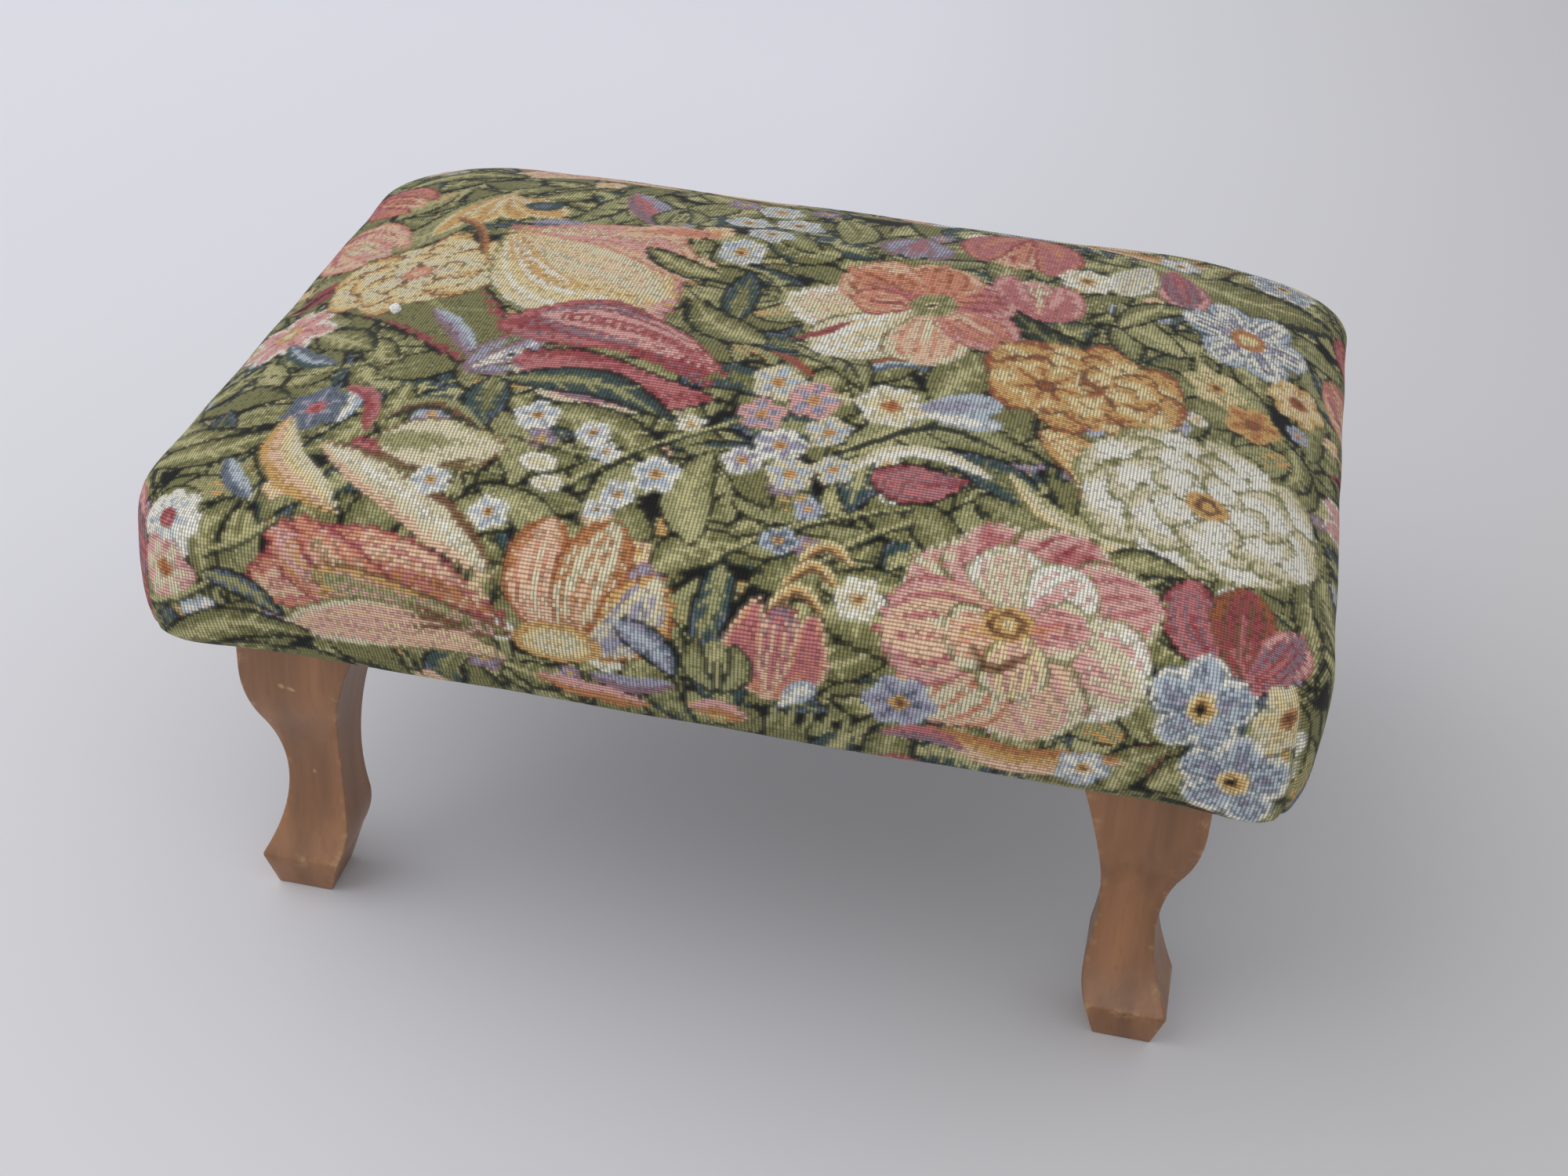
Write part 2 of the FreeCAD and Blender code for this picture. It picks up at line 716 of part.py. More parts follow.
def leg_bolts():
    """A bolt up through each leg and block, with a washer and a nut on the block."""
    washer_bottom = block_top
    nut_bottom = washer_bottom + dim("washer_thickness")
    nut_top = nut_bottom + dim("nut_height")
    foot = leg_top - dim("bolt_reach")
    bolt = rod("bolt_rod", dim("bolt_radius"), nut_top + dim("bolt_beyond_nut") - foot,
               -bolt_x, -bolt_y, foot)
    keep(four_corners("bolt_group", bolt), "hanger_bolts")

    bore = dim("bolt_radius") + hole_growth
    disc = rod("washer_disc", dim("washer_radius"), dim("washer_thickness"),
               -bolt_x, -bolt_y, washer_bottom)
    washer_hole = rod("washer_hole", bore, dim("washer_thickness"), -bolt_x, -bolt_y, washer_bottom)
    keep(four_corners("washer_group", cut("washer", disc, washer_hole)), "leg_washers")

    hexagon = doc.addObject("Part::Prism", "nut_hexagon")
    hexagon.Polygon = 6
    bind(hexagon, Circumradius=dim("nut_across_flats") / math.sqrt(3), Height=dim("nut_height"))
    put(hexagon, -bolt_x, -bolt_y, nut_bottom)
    nut_hole = rod("nut_hole", bore, dim("nut_height"), -bolt_x, -bolt_y, nut_bottom)
    keep(four_corners("nut_group", cut("nut", hexagon, nut_hole)), "leg_nuts")


def dust_cover():
    """A thin cloth under the frame, over the hem, with a hole for each leg bolt."""
    margin = dim("dust_cover_margin")
    cloth = slab("dust_cover_sheet", half_frame_length - margin, half_frame_width - margin,
                 leg_top, dim("dust_cover_thickness"))
    hole = rod("dust_cover_hole", dim("bolt_radius") + hole_growth, dim("dust_cover_thickness"),
               -bolt_x, -bolt_y, leg_top)
    return keep(cut("dust_cover_cloth", cloth, four_corners("dust_cover_holes", hole)), "dust_cover")


tapestry_cover()
wadding()
foam_pad()
hessian_cloth()
webbing()
rails()
rail_dowels()
corner_blocks()
block_screws()
legs()
leg_bolts()
dust_cover()
doc.recompute()

for thing in doc.Objects:
    if "Invalid" in thing.State or "Error" in thing.State:
        raise RuntimeError(f"{thing.Name} did not build: {thing.State}")
for thing in kept:
    if thing.Shape.isNull() or not thing.Shape.isValid() or not thing.Shape.Solids:
        raise RuntimeError(f"{thing.Label} has no valid solid")

for thing in kept:
    thing.Shape.exportStep(f"parts/{thing.Label}.step")
    box = thing.Shape.BoundBox
    print(f"{thing.Label}: {len(thing.Shape.Solids)} solids, {thing.Shape.Volume:.0f} mm3, "
          f"x {box.XMin:.1f} {box.XMax:.1f}, y {box.YMin:.1f} {box.YMax:.1f}, "
          f"z {box.ZMin:.1f} {box.ZMax:.1f}")
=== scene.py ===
import json
import math

import bpy
import numpy as np
from mathutils import Matrix, Vector
from mathutils.bvhtree import BVHTree

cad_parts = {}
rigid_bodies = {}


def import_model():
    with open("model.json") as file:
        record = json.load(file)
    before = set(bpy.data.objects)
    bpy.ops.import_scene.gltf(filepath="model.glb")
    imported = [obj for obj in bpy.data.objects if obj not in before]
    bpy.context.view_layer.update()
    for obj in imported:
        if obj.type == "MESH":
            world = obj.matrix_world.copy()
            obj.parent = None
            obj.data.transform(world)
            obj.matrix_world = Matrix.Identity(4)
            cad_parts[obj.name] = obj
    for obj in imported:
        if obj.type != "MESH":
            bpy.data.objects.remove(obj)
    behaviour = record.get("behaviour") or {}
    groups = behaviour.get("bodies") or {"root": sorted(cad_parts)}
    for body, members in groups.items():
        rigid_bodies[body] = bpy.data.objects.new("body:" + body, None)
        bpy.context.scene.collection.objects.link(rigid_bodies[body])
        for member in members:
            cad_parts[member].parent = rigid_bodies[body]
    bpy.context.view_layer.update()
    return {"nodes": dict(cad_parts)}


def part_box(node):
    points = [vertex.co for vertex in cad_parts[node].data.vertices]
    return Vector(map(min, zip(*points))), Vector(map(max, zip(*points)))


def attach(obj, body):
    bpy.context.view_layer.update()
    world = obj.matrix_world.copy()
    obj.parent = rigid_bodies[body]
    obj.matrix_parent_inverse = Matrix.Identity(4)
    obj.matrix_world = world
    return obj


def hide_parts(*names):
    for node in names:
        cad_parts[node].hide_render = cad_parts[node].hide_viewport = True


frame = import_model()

# Upholstered footstool with four sawn cabriole legs.
# Metres, in the frame of the CAD model: +X along the length, the front faces -Y, +Z up.

MM = 0.001


def deselect_all():
    for thing in bpy.context.view_layer.objects:
        thing.select_set(False)


def make_active(thing):
    deselect_all()
    thing.select_set(True)
    bpy.context.view_layer.objects.active = thing


# Levels and edges taken from the CAD nodes
cover_low, cover_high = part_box("tapestry_cover")
rail_low, rail_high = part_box("front_rail")
HEM_LEVEL = cover_low.z
HALF_LENGTH = cover_high.x
HALF_WIDTH = cover_high.y
FRAME_HALF_LENGTH = rail_high.x
FRAME_HALF_WIDTH = -rail_low.y


# The cover is one cloth, cut with a dart at each corner.
# Its threads are the mesh's own grid: 4 by 4 threads to each face before subdivision.

THREAD_MM = 1.2
THREAD = THREAD_MM * MM
CELL = THREAD * 4
TOP_COLUMNS = 80
TOP_ROWS = 58
WALL_ROWS = 13
HEM_ROWS = 5
SIDE_ROWS = WALL_ROWS + HEM_ROWS
CLOTH_HALF_U = CELL * TOP_COLUMNS / 2
CLOTH_HALF_V = CELL * TOP_ROWS / 2
CLOTH_EXTENT = CELL * (TOP_COLUMNS + SIDE_ROWS * 2)
WALL_DROP = CELL * WALL_ROWS
HEM_START = WALL_DROP - CELL / 2
NEAR_EDGE = CELL / 4


def boxed_cloth():
    """An open box of square faces: the top, and four sides that hang from it."""
    deselect_all()
    bpy.ops.mesh.primitive_grid_add(x_subdivisions=TOP_COLUMNS, y_subdivisions=TOP_ROWS, size=2)
    cover = bpy.context.object
    cover.name = "cushion_cover"
    cover.scale = (CLOTH_HALF_U, CLOTH_HALF_V, 1)
    bpy.ops.object.transform_apply(location=False, rotation=False, scale=True)
    bpy.ops.object.mode_set(mode="EDIT")
    bpy.ops.mesh.select_all(action="DESELECT")
    bpy.ops.mesh.select_mode(type="EDGE")
    bpy.ops.mesh.select_non_manifold()
    for _ in range(SIDE_ROWS):
        bpy.ops.mesh.extrude_region_move(TRANSFORM_OT_translate={"value": (0, 0, -CELL)})
    bpy.ops.mesh.select_all(action="SELECT")
    bpy.ops.mesh.normals_make_consistent(inside=False)
    bpy.ops.object.mode_set(mode="OBJECT")
    return cover


def coordinates(thing):
    places = np.zeros(len(thing.data.vertices) * 3)
    thing.data.vertices.foreach_get("co", places)
    return places.reshape(-1, 3)


def move_vertices(thing, places):
    thing.data.vertices.foreach_set("co", np.ascontiguousarray(places).ravel())
    thing.data.update()


def lay_out_threads(cover):
    """Gives the cover its flat cutting layout as a UV map, each side folded out from the top."""
    mesh = cover.data
    places = coordinates(cover)
    while mesh.uv_layers:
        mesh.uv_layers.remove(mesh.uv_layers[0])
    layer = mesh.uv_layers.new(name="OFBake")
    corner_count = len(mesh.loops)
    vertex_of = np.zeros(corner_count, int)
    mesh.loops.foreach_get("vertex_index", vertex_of)
    face_of = np.repeat(np.arange(len(mesh.polygons)), 4)
    corner = places[vertex_of]
    middle = np.zeros((len(mesh.polygons), 3))
    for axis in range(3):
        middle[:, axis] = np.bincount(face_of, corner[:, axis]) / 4
    middle = middle[face_of]
    u = corner[:, 0].copy()
    v = corner[:, 1].copy()
    drop = -corner[:, 2]
    hangs = middle[:, 2] < -NEAR_EDGE
    on_left = hangs & (middle[:, 0] < -CLOTH_HALF_U + NEAR_EDGE)
    on_right = hangs & (middle[:, 0] > CLOTH_HALF_U - NEAR_EDGE)
    in_front = hangs & (middle[:, 1] < -CLOTH_HALF_V + NEAR_EDGE)
    behind = hangs & (middle[:, 1] > CLOTH_HALF_V - NEAR_EDGE)
    u[on_left] -= drop[on_left]
    u[on_right] += drop[on_right]
    v[in_front] -= drop[in_front]
    v[behind] += drop[behind]
    flat = np.stack([u, v], 1) / CLOTH_EXTENT + 0.5
    layer.data.foreach_set("uv", np.ascontiguousarray(flat).ravel())


def edge_ends(mesh):
    ends = np.zeros(len(mesh.edges) * 2, int)
    mesh.edges.foreach_get("vertices", ends)
    return ends.reshape(-1, 2)


def surface_tree(node):
    """The outside of the CAD skin, for finding its nearest point."""
    mesh = frame["nodes"][node].data
    middle = Vector((0, 0, (HEM_LEVEL + cover_high.z) / 2))
    corners = [tuple(vertex.co) for vertex in mesh.vertices]
    faces = [tuple(polygon.vertices) for polygon in mesh.polygons
             if polygon.normal.dot(polygon.center - middle) > 0]
    return BVHTree.FromPolygons(corners, faces)


def drop_onto(tree, places):
    """Moves each place to the nearest point of the CAD surface."""
    found = np.empty_like(places)
    for number, place in enumerate(places):
        found[number] = tree.find_nearest(Vector(place))[0]
    return found


RELAX_ROUNDS = 24
RELAX_STEPS = 5
RIM_BELOW_CROWN = 18 * MM
HEM_RING_RADIUS = 18 * MM
HEM_RING_LEAST_RADIUS = 2 * MM
HEM_RING_MARGIN = 2 * MM
HEM_RING_LIFT = 0.3 * MM


def drape_over_form(cover):
    """Lays the boxed cloth on the CAD cushion and evens out its threads."""
    tree = surface_tree("tapestry_cover")
    flat = coordinates(cover)
    drop = -flat[:, 2]
    hem = drop > HEM_START
    places = flat.copy()
    places[:, 0] *= HALF_LENGTH / CLOTH_HALF_U
    places[:, 1] *= HALF_WIDTH / CLOTH_HALF_V
    wall_share = np.clip(drop / WALL_DROP, 0, 1)
    rim_level = cover_high.z - RIM_BELOW_CROWN
    places[:, 2] = rim_level + (HEM_LEVEL - rim_level) * wall_share
    places[drop < CELL / 2, 2] = cover_high.z
    places = drop_onto(tree, places)
    inwards = np.clip(drop - WALL_DROP, 0, None)
    ring = places[hem].copy()
    half_x = FRAME_HALF_LENGTH + HEM_RING_MARGIN
    half_y = FRAME_HALF_WIDTH + HEM_RING_MARGIN
    direction = flat[hem][:, :2] / np.array([CLOTH_HALF_U, CLOTH_HALF_V])
    ring[:, :2] = rounded_outline(direction, half_x - inwards[hem], half_y - inwards[hem],
                                  np.clip(HEM_RING_RADIUS - inwards[hem], HEM_RING_LEAST_RADIUS, None))
    ring[:, 2] = HEM_LEVEL + HEM_RING_LIFT
    places[hem] = ring
    ends = edge_ends(cover.data)
    count = np.bincount(ends.ravel(), minlength=len(places))[:, None]
    for _ in range(RELAX_ROUNDS):
        for _ in range(RELAX_STEPS):
            total = np.zeros_like(places)
            for axis in range(3):
                total[:, axis] = (np.bincount(ends[:, 0], places[ends[:, 1], axis], len(places))
                                  + np.bincount(ends[:, 1], places[ends[:, 0], axis], len(places)))
            smooth = total / count
            places[~hem] = smooth[~hem]
        places[~hem] = drop_onto(tree, places[~hem])
    move_vertices(cover, places)
    return drop


def rounded_outline(direction, half_x, half_y, radius):
    """Points on a rounded rectangle, spread evenly along each of its four sides.

    direction is the place on a square outline from -1 to 1.
    """
    p = direction[:, 0]
    q = direction[:, 1]
    along_x = np.abs(q) >= np.abs(p) - 1e-6
    half_main = np.where(along_x, half_x, half_y)
    share = np.where(along_x, p, q)
    side = np.where(along_x, np.sign(q), np.sign(p))
    straight = half_main - radius
    length = straight + radius * math.pi / 4
    travelled = np.abs(share) * length
    beyond = np.clip(travelled - straight, 0, None)
    angle = beyond / radius
    main = np.minimum(travelled, straight) + radius * np.sin(angle)
    half_other = np.where(along_x, half_y, half_x)
    other = half_other - radius * (1 - np.cos(angle))
    main = main * np.sign(share)
    other = other * side
    return np.stack([np.where(along_x, main, other), np.where(along_x, other, main)], 1)


# The woven picture
# Millimetres on the flat cloth: u to the right, v to the back, the origin at the middle of the top.

REPEAT_COLUMNS = 336
REPEAT_ROWS = 252
BLEND = 0.5

# Each yarn: its colour as seen on a screen, and 1 where it floats across instead of making ribs
YARNS = {
    "black": ((16, 17, 19), 0),
    "dark green": ((52, 57, 45), 0),
    "teal": ((66, 86, 84), 0),
    "olive": ((132, 130, 84), 0),
    "sage": ((166, 164, 116), 0),
    "light olive": ((196, 190, 138), 0),
    "gold": ((216, 172, 108), 1),
    "yellow": ((236, 216, 164), 0),
    "cream": ((228, 218, 184), 0),
    "white": ((244, 241, 226), 0),
    "peach": ((234, 196, 164), 1),
    "coral": ((216, 146, 118), 1),
    "orange": ((192, 132, 84), 1),
    "pink": ((226, 172, 164), 1),
    "rose": ((196, 120, 120), 1),
    "crimson": ((162, 76, 80), 1),
    "mauve": ((152, 120, 130), 1),
    "lilac": ((170, 166, 184), 0),
    "light blue": ((190, 200, 208), 0),
    "slate": ((108, 118, 132), 0),
    "brown": ((126, 88, 62), 1),
    "rust": ((166, 96, 60), 1),
}
YARN_NUMBER = {name: number for number, name in enumerate(YARNS)}

# The yarn that draws the thin edge of a wide petal whose rim has the first yarn
EDGE_YARNS = {
    "white": "sage",
    "cream": "olive",
    "yellow": "gold",
    "gold": "brown",
    "peach": "coral",
    "coral": "crimson",
    "orange": "rust",
    "pink": "rose",
    "rose": "crimson",
    "crimson": "black",
    "mauve": "crimson",
    "rust": "brown",
    "sage": "olive",
}
EDGED_WIDTH = 16
EDGE_WIDTH = 1.3

# How petals, streaks, veins and hearts are drawn; widths are in millimetres, the rest are shares
END_ROUNDNESS = 0.6
LEAST_END = 0.02
PETAL_ROUNDNESS = 0.62
RIM_WEIGHT = 0.55
STREAKS = 2.6
STREAK_HALF = 0.16
STREAK_GAPS = -0.13
STREAK_END = 0.86
VEIN_WIDTH = 2.6
VEIN_END = 0.92
SIDE_VEIN_WIDTH = 1.5
SIDE_VEINS = (0.25, 0.42, 0.6)
SIDE_VEIN_REACH = 0.13
SIDE_VEIN_SPREAD = 0.3
PETAL_OVERLAP = 4.4
FLOWER_HEART = 0.28
TULIP_MIDDLE = 0.85
TULIP_SIDE = 0.55
TULIP_OVERLAP = 0.36
TULIP_CURL = 0.16
PEONY_HEART = 0.18
PEONY_RING_TURN = 0.4
PEONY_START = 0.08
PEONY_PETAL = 0.95
PEONY_RINGS = [(1.0, 8), (0.74, 7), (0.48, 5)]


def smooth_curve(points, pieces=10):
    """A curve through the given points."""
    points = np.array(points, float)
    ends = np.vstack([2 * points[0] - points[1], points, 2 * points[-1] - points[-2]])
    share = np.linspace(0, 1, pieces, endpoint=False)[:, None]
    runs = []
    for before, here, there, after in zip(ends, ends[1:], ends[2:], ends[3:]):
        cubic = 3 * (here - there) + after - before
        square = 2 * before - 5 * here + 4 * there - after
        runs.append(here + share / 2 * (there - before + share * (square + share * cubic)))
    return np.vstack(runs + [points[-1:]])


class Loom:
    """One repeat of the pattern, with one yarn on top at each crossing of the threads."""

    def __init__(self):
        self.random = np.random.default_rng(7)
        self.picture = np.zeros((REPEAT_ROWS, REPEAT_COLUMNS), int)
        grain = self.random.random((REPEAT_ROWS, REPEAT_COLUMNS))
        streaky = (grain + np.roll(grain, 1, 0) + self.random.random((REPEAT_ROWS, 1))) / 3
        self.grain = streaky - 0.5

    def crossings(self, low, high):
        first = np.floor(np.array(low) / THREAD_MM).astype(int)
        last = np.ceil(np.array(high) / THREAD_MM).astype(int)
        columns, rows = np.meshgrid(np.arange(first[0], last[0] + 1), np.arange(first[1], last[1] + 1))
        return columns.ravel(), rows.ravel()

    def grain_at(self, columns, rows):
        return self.grain[rows % REPEAT_ROWS, columns % REPEAT_COLUMNS]

    def pick(self, columns, rows, mask, yarns, depth):
        """Weaves the masked crossings, each with the yarn that its depth from 0 to 1 names."""
        numbers = np.array([YARN_NUMBER[name] for name in yarns])
        step = depth * len(numbers) + self.grain_at(columns, rows) * BLEND * 2
        chosen = numbers[np.clip(step.astype(int), 0, len(numbers) - 1)]
        self.picture[rows[mask] % REPEAT_ROWS, columns[mask] % REPEAT_COLUMNS] = chosen[mask]

    def beside(self, line, reach):
        """Crossings near a line: how far along it from 0 to 1, and how far to its left."""
        columns, rows = self.crossings(line.min(0) - reach, line.max(0) + reach)
        place = np.stack([(columns + 0.5) * THREAD_MM, (rows + 0.5) * THREAD_MM], 1)
        gap = place[:, None, :] - line[None]
        squared = (gap ** 2).sum(2)
        nearest = squared.argmin(1)
        offset = gap[np.arange(len(place)), nearest]
        heading = np.gradient(line, axis=0)
        heading = heading / np.linalg.norm(heading, axis=1, keepdims=True)
        ahead = heading[nearest]
        left = np.sign(ahead[:, 0] * offset[:, 1] - ahead[:, 1] * offset[:, 0])
        step = np.linalg.norm(np.diff(line, axis=0), axis=1)
        travelled = np.concatenate([[0], np.cumsum(step)]) / step.sum()
        return columns, rows, travelled[nearest], left * np.sqrt(squared.min(1))

    def ribbon(self, points, width, yarns, ends=(0.3, 0.3)):
        """A tapering band; its yarns run from its right edge to its left edge."""
        line = smooth_curve(points)
        columns, rows, along, aside = self.beside(line, width)
        start = np.clip(along / ends[0], LEAST_END, 1) ** END_ROUNDNESS
        finish = np.clip((1 - along) / ends[1], LEAST_END, 1) ** END_ROUNDNESS
        half = width / 2 * start * finish
        across = aside / half
        self.pick(columns, rows, np.abs(across) < 1, yarns, (across + 1) / 2)

    def stem(self, points, width=3.2, yarns=("dark green", "sage", "light olive")):
        self.ribbon(points, width, yarns, ends=(0.05, 0.05))

    def petal(self, base, tip, width, yarns, bend=0.0, fullness=1.5, streak=None, rim=None):
        """A petal or a leaf; its yarns run from the rim and tip to the throat."""
        base = np.array(base, float)
        tip = np.array(tip, float)
        sideways = np.array([base[1] - tip[1], tip[0] - base[0]]) * bend
        line = smooth_curve([base, (base + tip) / 2 + sideways, tip])
        columns, rows, along, aside = self.beside(line, width)
        body = np.sin(math.pi * np.clip(along, 0.004, 0.996) ** fullness) ** PETAL_ROUNDNESS
        half = width / 2 * body
        across = aside / half
        inside = np.abs(across) < 1
        depth = (1 - np.abs(across)) * RIM_WEIGHT + (1 - along) * (1 - RIM_WEIGHT)
        self.pick(columns, rows, inside, yarns, depth)
        if streak:
            fan = np.abs((across * STREAKS) % 1 - 0.5) < STREAK_HALF
            unbroken = self.grain_at(columns, rows) > STREAK_GAPS
            self.pick(columns, rows, inside & fan & unbroken & (along < STREAK_END), (streak,), depth)
        if rim is None and width > EDGED_WIDTH:
            rim = EDGE_YARNS.get(yarns[0])
        if rim:
            edge = half * (1 - np.abs(across)) < EDGE_WIDTH
            self.pick(columns, rows, inside & edge, (rim,), depth)

    def leaf(self, base, tip, width, yarns=("dark green", "olive", "sage"), bend=0.12,
             vein="light olive"):
        """A pointed leaf with a middle vein and three pairs of side veins."""
        self.petal(base, tip, width, yarns, bend, fullness=0.85, rim="black")
        base = np.array(base, float)
        tip = np.array(tip, float)
        sideways = np.array([base[1] - tip[1], tip[0] - base[0]]) * bend
        spine = smooth_curve([base, (base + tip) / 2 + sideways, base + (tip - base) * VEIN_END])
        self.ribbon(spine, VEIN_WIDTH, (vein,), ends=(0.1, 0.5))
        normal = np.array([base[1] - tip[1], tip[0] - base[0]]) / np.linalg.norm(tip - base)
        for share in SIDE_VEINS:
            root_place = spine[int(share * (len(spine) - 1))]
            onward = (tip - base) * SIDE_VEIN_REACH
            for side in (-1, 1):
                end = root_place + onward + normal * side * width * SIDE_VEIN_SPREAD
                self.ribbon([root_place, end], SIDE_VEIN_WIDTH, (vein,), ends=(0.1, 0.4))

    def spot(self, centre, radius_u, radius_v, yarns):
        """An oval; its yarns run from the rim to the middle."""
        reach = np.array([radius_u, radius_v])
        columns, rows = self.crossings(np.array(centre) - reach, np.array(centre) + reach)
        du = ((columns + 0.5) * THREAD_MM - centre[0]) / radius_u
        dv = ((rows + 0.5) * THREAD_MM - centre[1]) / radius_v
        distance = np.hypot(du, dv)
        self.pick(columns, rows, distance < 1, yarns, 1 - distance)

    def flower(self, centre, radius, yarns, heart=("gold", "brown"), petals=6, turn=0.0, squash=1.0,
               streak=None):
        """An open flower of equal petals round a heart."""
        middle = np.array(centre, float)
        for number in range(petals):
            angle = turn + number * math.tau / petals
            tip = middle + np.array([math.cos(angle), math.sin(angle) * squash]) * radius
            width = radius * PETAL_OVERLAP / petals
            self.petal(middle, tip, width, yarns, fullness=1.7, streak=streak)
        self.spot(centre, radius * FLOWER_HEART, radius * FLOWER_HEART * squash, heart)

    def tulip(self, base, tip, width, outer, inner, edge=None):
        """A closed bloom: a middle petal with one petal folded over each side."""
        base = np.array(base, float)
        tip = np.array(tip, float)
        aside = np.array([base[1] - tip[1], tip[0] - base[0]]) / np.linalg.norm(tip - base) * width
        self.petal(base, tip, width * TULIP_MIDDLE, inner, fullness=1.3, streak=edge)
        for side in (1, -1):
            self.petal(base, tip + aside * side * TULIP_OVERLAP, width * TULIP_SIDE, outer,
                       bend=TULIP_CURL * side, fullness=1.2, rim=edge)

    def peony(self, centre, radius, yarns, heart, squash=1.0, streak=None, turn=0.3):
        """A full flower: three rings of petals round a curled heart."""
        middle = np.array(centre, float)
        for ring, (share, count) in enumerate(PEONY_RINGS):
            for number in range(count):
                angle = turn + ring * PEONY_RING_TURN + (number + ring * 0.5) * math.tau / count
                way = np.array([math.cos(angle), math.sin(angle) * squash])
                start = middle + way * radius * PEONY_START
                self.petal(start, middle + way * radius * share, radius * share * PEONY_PETAL, yarns,
                           bend=0.12, fullness=2.0, streak=streak)
        self.spot(centre, radius * PEONY_HEART, radius * PEONY_HEART * squash, heart)


PALE_GREEN = ("olive", "sage", "light olive")
IVORY = ("white", "cream", "cream")
BLUSH = ("cream", "pink", "cream", "peach")


def weave_front_left(loom):
    """Broad coral bloom, open orange tulip, long buds and small daisies at the near left."""
    for number in range(5):
        tip = (-200 + number * 13, -138 + number * 17 - number * number * 2)
        loom.leaf((-203, -58 - number * 14), tip, 17, bend=-0.1)
    loom.ribbon([(-168, -118), (-160, -130), (-150, -138)], 8, ("slate", "light blue"))
    loom.stem([(-204, -60), (-160, -66), (-120, -60)])
    loom.flower((-145, -89), 13, ("slate", "slate", "lilac"), ("rose", "crimson"), turn=0.5)
    loom.ribbon([(-134, -98), (-131, -88), (-135, -80)], 5, ("light blue", "white"))
    loom.ribbon([(-138, -77), (-126, -84), (-121, -103)], 6, ("crimson", "rose"))
    loom.petal((-106, -124), (-124, -106), 12, ("crimson", "rose"))
    loom.ribbon([(-153, -94), (-146, -118), (-120, -140)], 15, ("gold", "peach", "yellow", "cream"))
    loom.ribbon([(-135, -108), (-102, -128), (-66, -153)], 17,
                ("peach", "cream", "white", "cream", "brown"))
    loom.petal((-116, -106), (-72, -105), 25, ("light olive", "cream", "sage"), fullness=0.9,
               rim="brown")
    loom.ribbon([(-120, -98), (-103, -86), (-80, -99)], 7, ("dark green", "brown", "sage"))
    loom.ribbon([(-114, -112), (-98, -119), (-80, -110)], 4, ("olive", "brown"))
    loom.leaf((-85, -68), (-22, -80), 15, ("dark green", "teal", "olive"), vein="sage")
    loom.leaf((-72, -84), (-18, -104), 17)
    loom.stem([(-75, -98), (-40, -103), (0, -102)])
    loom.stem([(-55, -121), (-40, -105), (-20, -88), (2, -72)])
    loom.leaf((-6, -132), (-8, -92), 18, PALE_GREEN)
    for place, radius in [((-67, -87), 8), ((-47, -92), 6), ((-41, -100), 5), ((-23, -106), 8),
                          ((-33, -116), 6), ((-38, -124), 5), ((-93, -122), 7), ((-71, -132), 7)]:
        loom.flower(place, radius, ("white", "light blue"), ("gold", "brown"), petals=5, turn=radius)
    loom.spot((-61, -108), 6, 4, IVORY)
    loom.spot((-56, -116), 5, 3.5, IVORY)
    loom.petal((-58, -165), (-153, -172), 30, ("coral", "peach", "orange"), bend=-0.12, streak="rose")
    loom.petal((-68, -178), (-142, -146), 24, ("coral", "pink", "peach"), bend=0.1, streak="gold")
    loom.petal((-58, -168), (-134, -143), 18, ("rose", "coral", "olive", "gold"), bend=0.14,
               streak="peach")
    loom.petal((-56, -172), (-128, -160), 20, ("gold", "sage", "olive"), bend=0.05, streak="pink")
    loom.petal((-56, -186), (-142, -187), 24, ("cream", "peach", "yellow"), bend=-0.1, streak="pink")
    for turn in (-6, 0, 6):
        loom.ribbon([(-72, -173), (-98, -171 + turn)], 2.6, ("brown",))
    loom.petal((-44, -176), (-50, -130), 22, ("orange", "peach", "cream"), bend=0.1, rim="rust",
               streak="coral")
    loom.petal((-42, -176), (-30, -128), 24, ("orange", "cream", "peach"), rim="rust",
               streak="orange")
    loom.petal((-40, -178), (-12, -146), 24, ("gold", "cream", "lilac"), bend=-0.1, rim="rust",
               streak="lilac")
    loom.spot((-45, -173), 15, 9, ("gold", "yellow", "cream", "yellow"))
    loom.leaf((-26, -160), (-6, -180), 13, ("slate", "lilac"), vein="light blue")
    loom.ribbon([(-36, -186), (-22, -188), (-6, -184)], 8, ("mauve", "lilac"))
    loom.ribbon([(-55, -190), (-38, -194), (-16, -196)], 8, ("orange", "pink"))
    loom.flower((-180, -150), 15, ("white", "white", "light blue"), ("crimson", "rose"), petals=7)
    loom.flower((-180, -168), 12, ("pink", "cream"), ("orange", "rust"), petals=6)
    loom.flower((-168, -184), 8, ("light blue", "white"), petals=5)
    loom.stem([(-166, -160), (-150, -153), (-138, -145)])
    loom.stem([(-192, -184), (-172, -176), (-155, -164)])
    loom.leaf((-165, -166), (-140, -182), 11, ("teal", "slate"), vein="sage")
    loom.leaf((-188, -199), (-130, -190), 16)


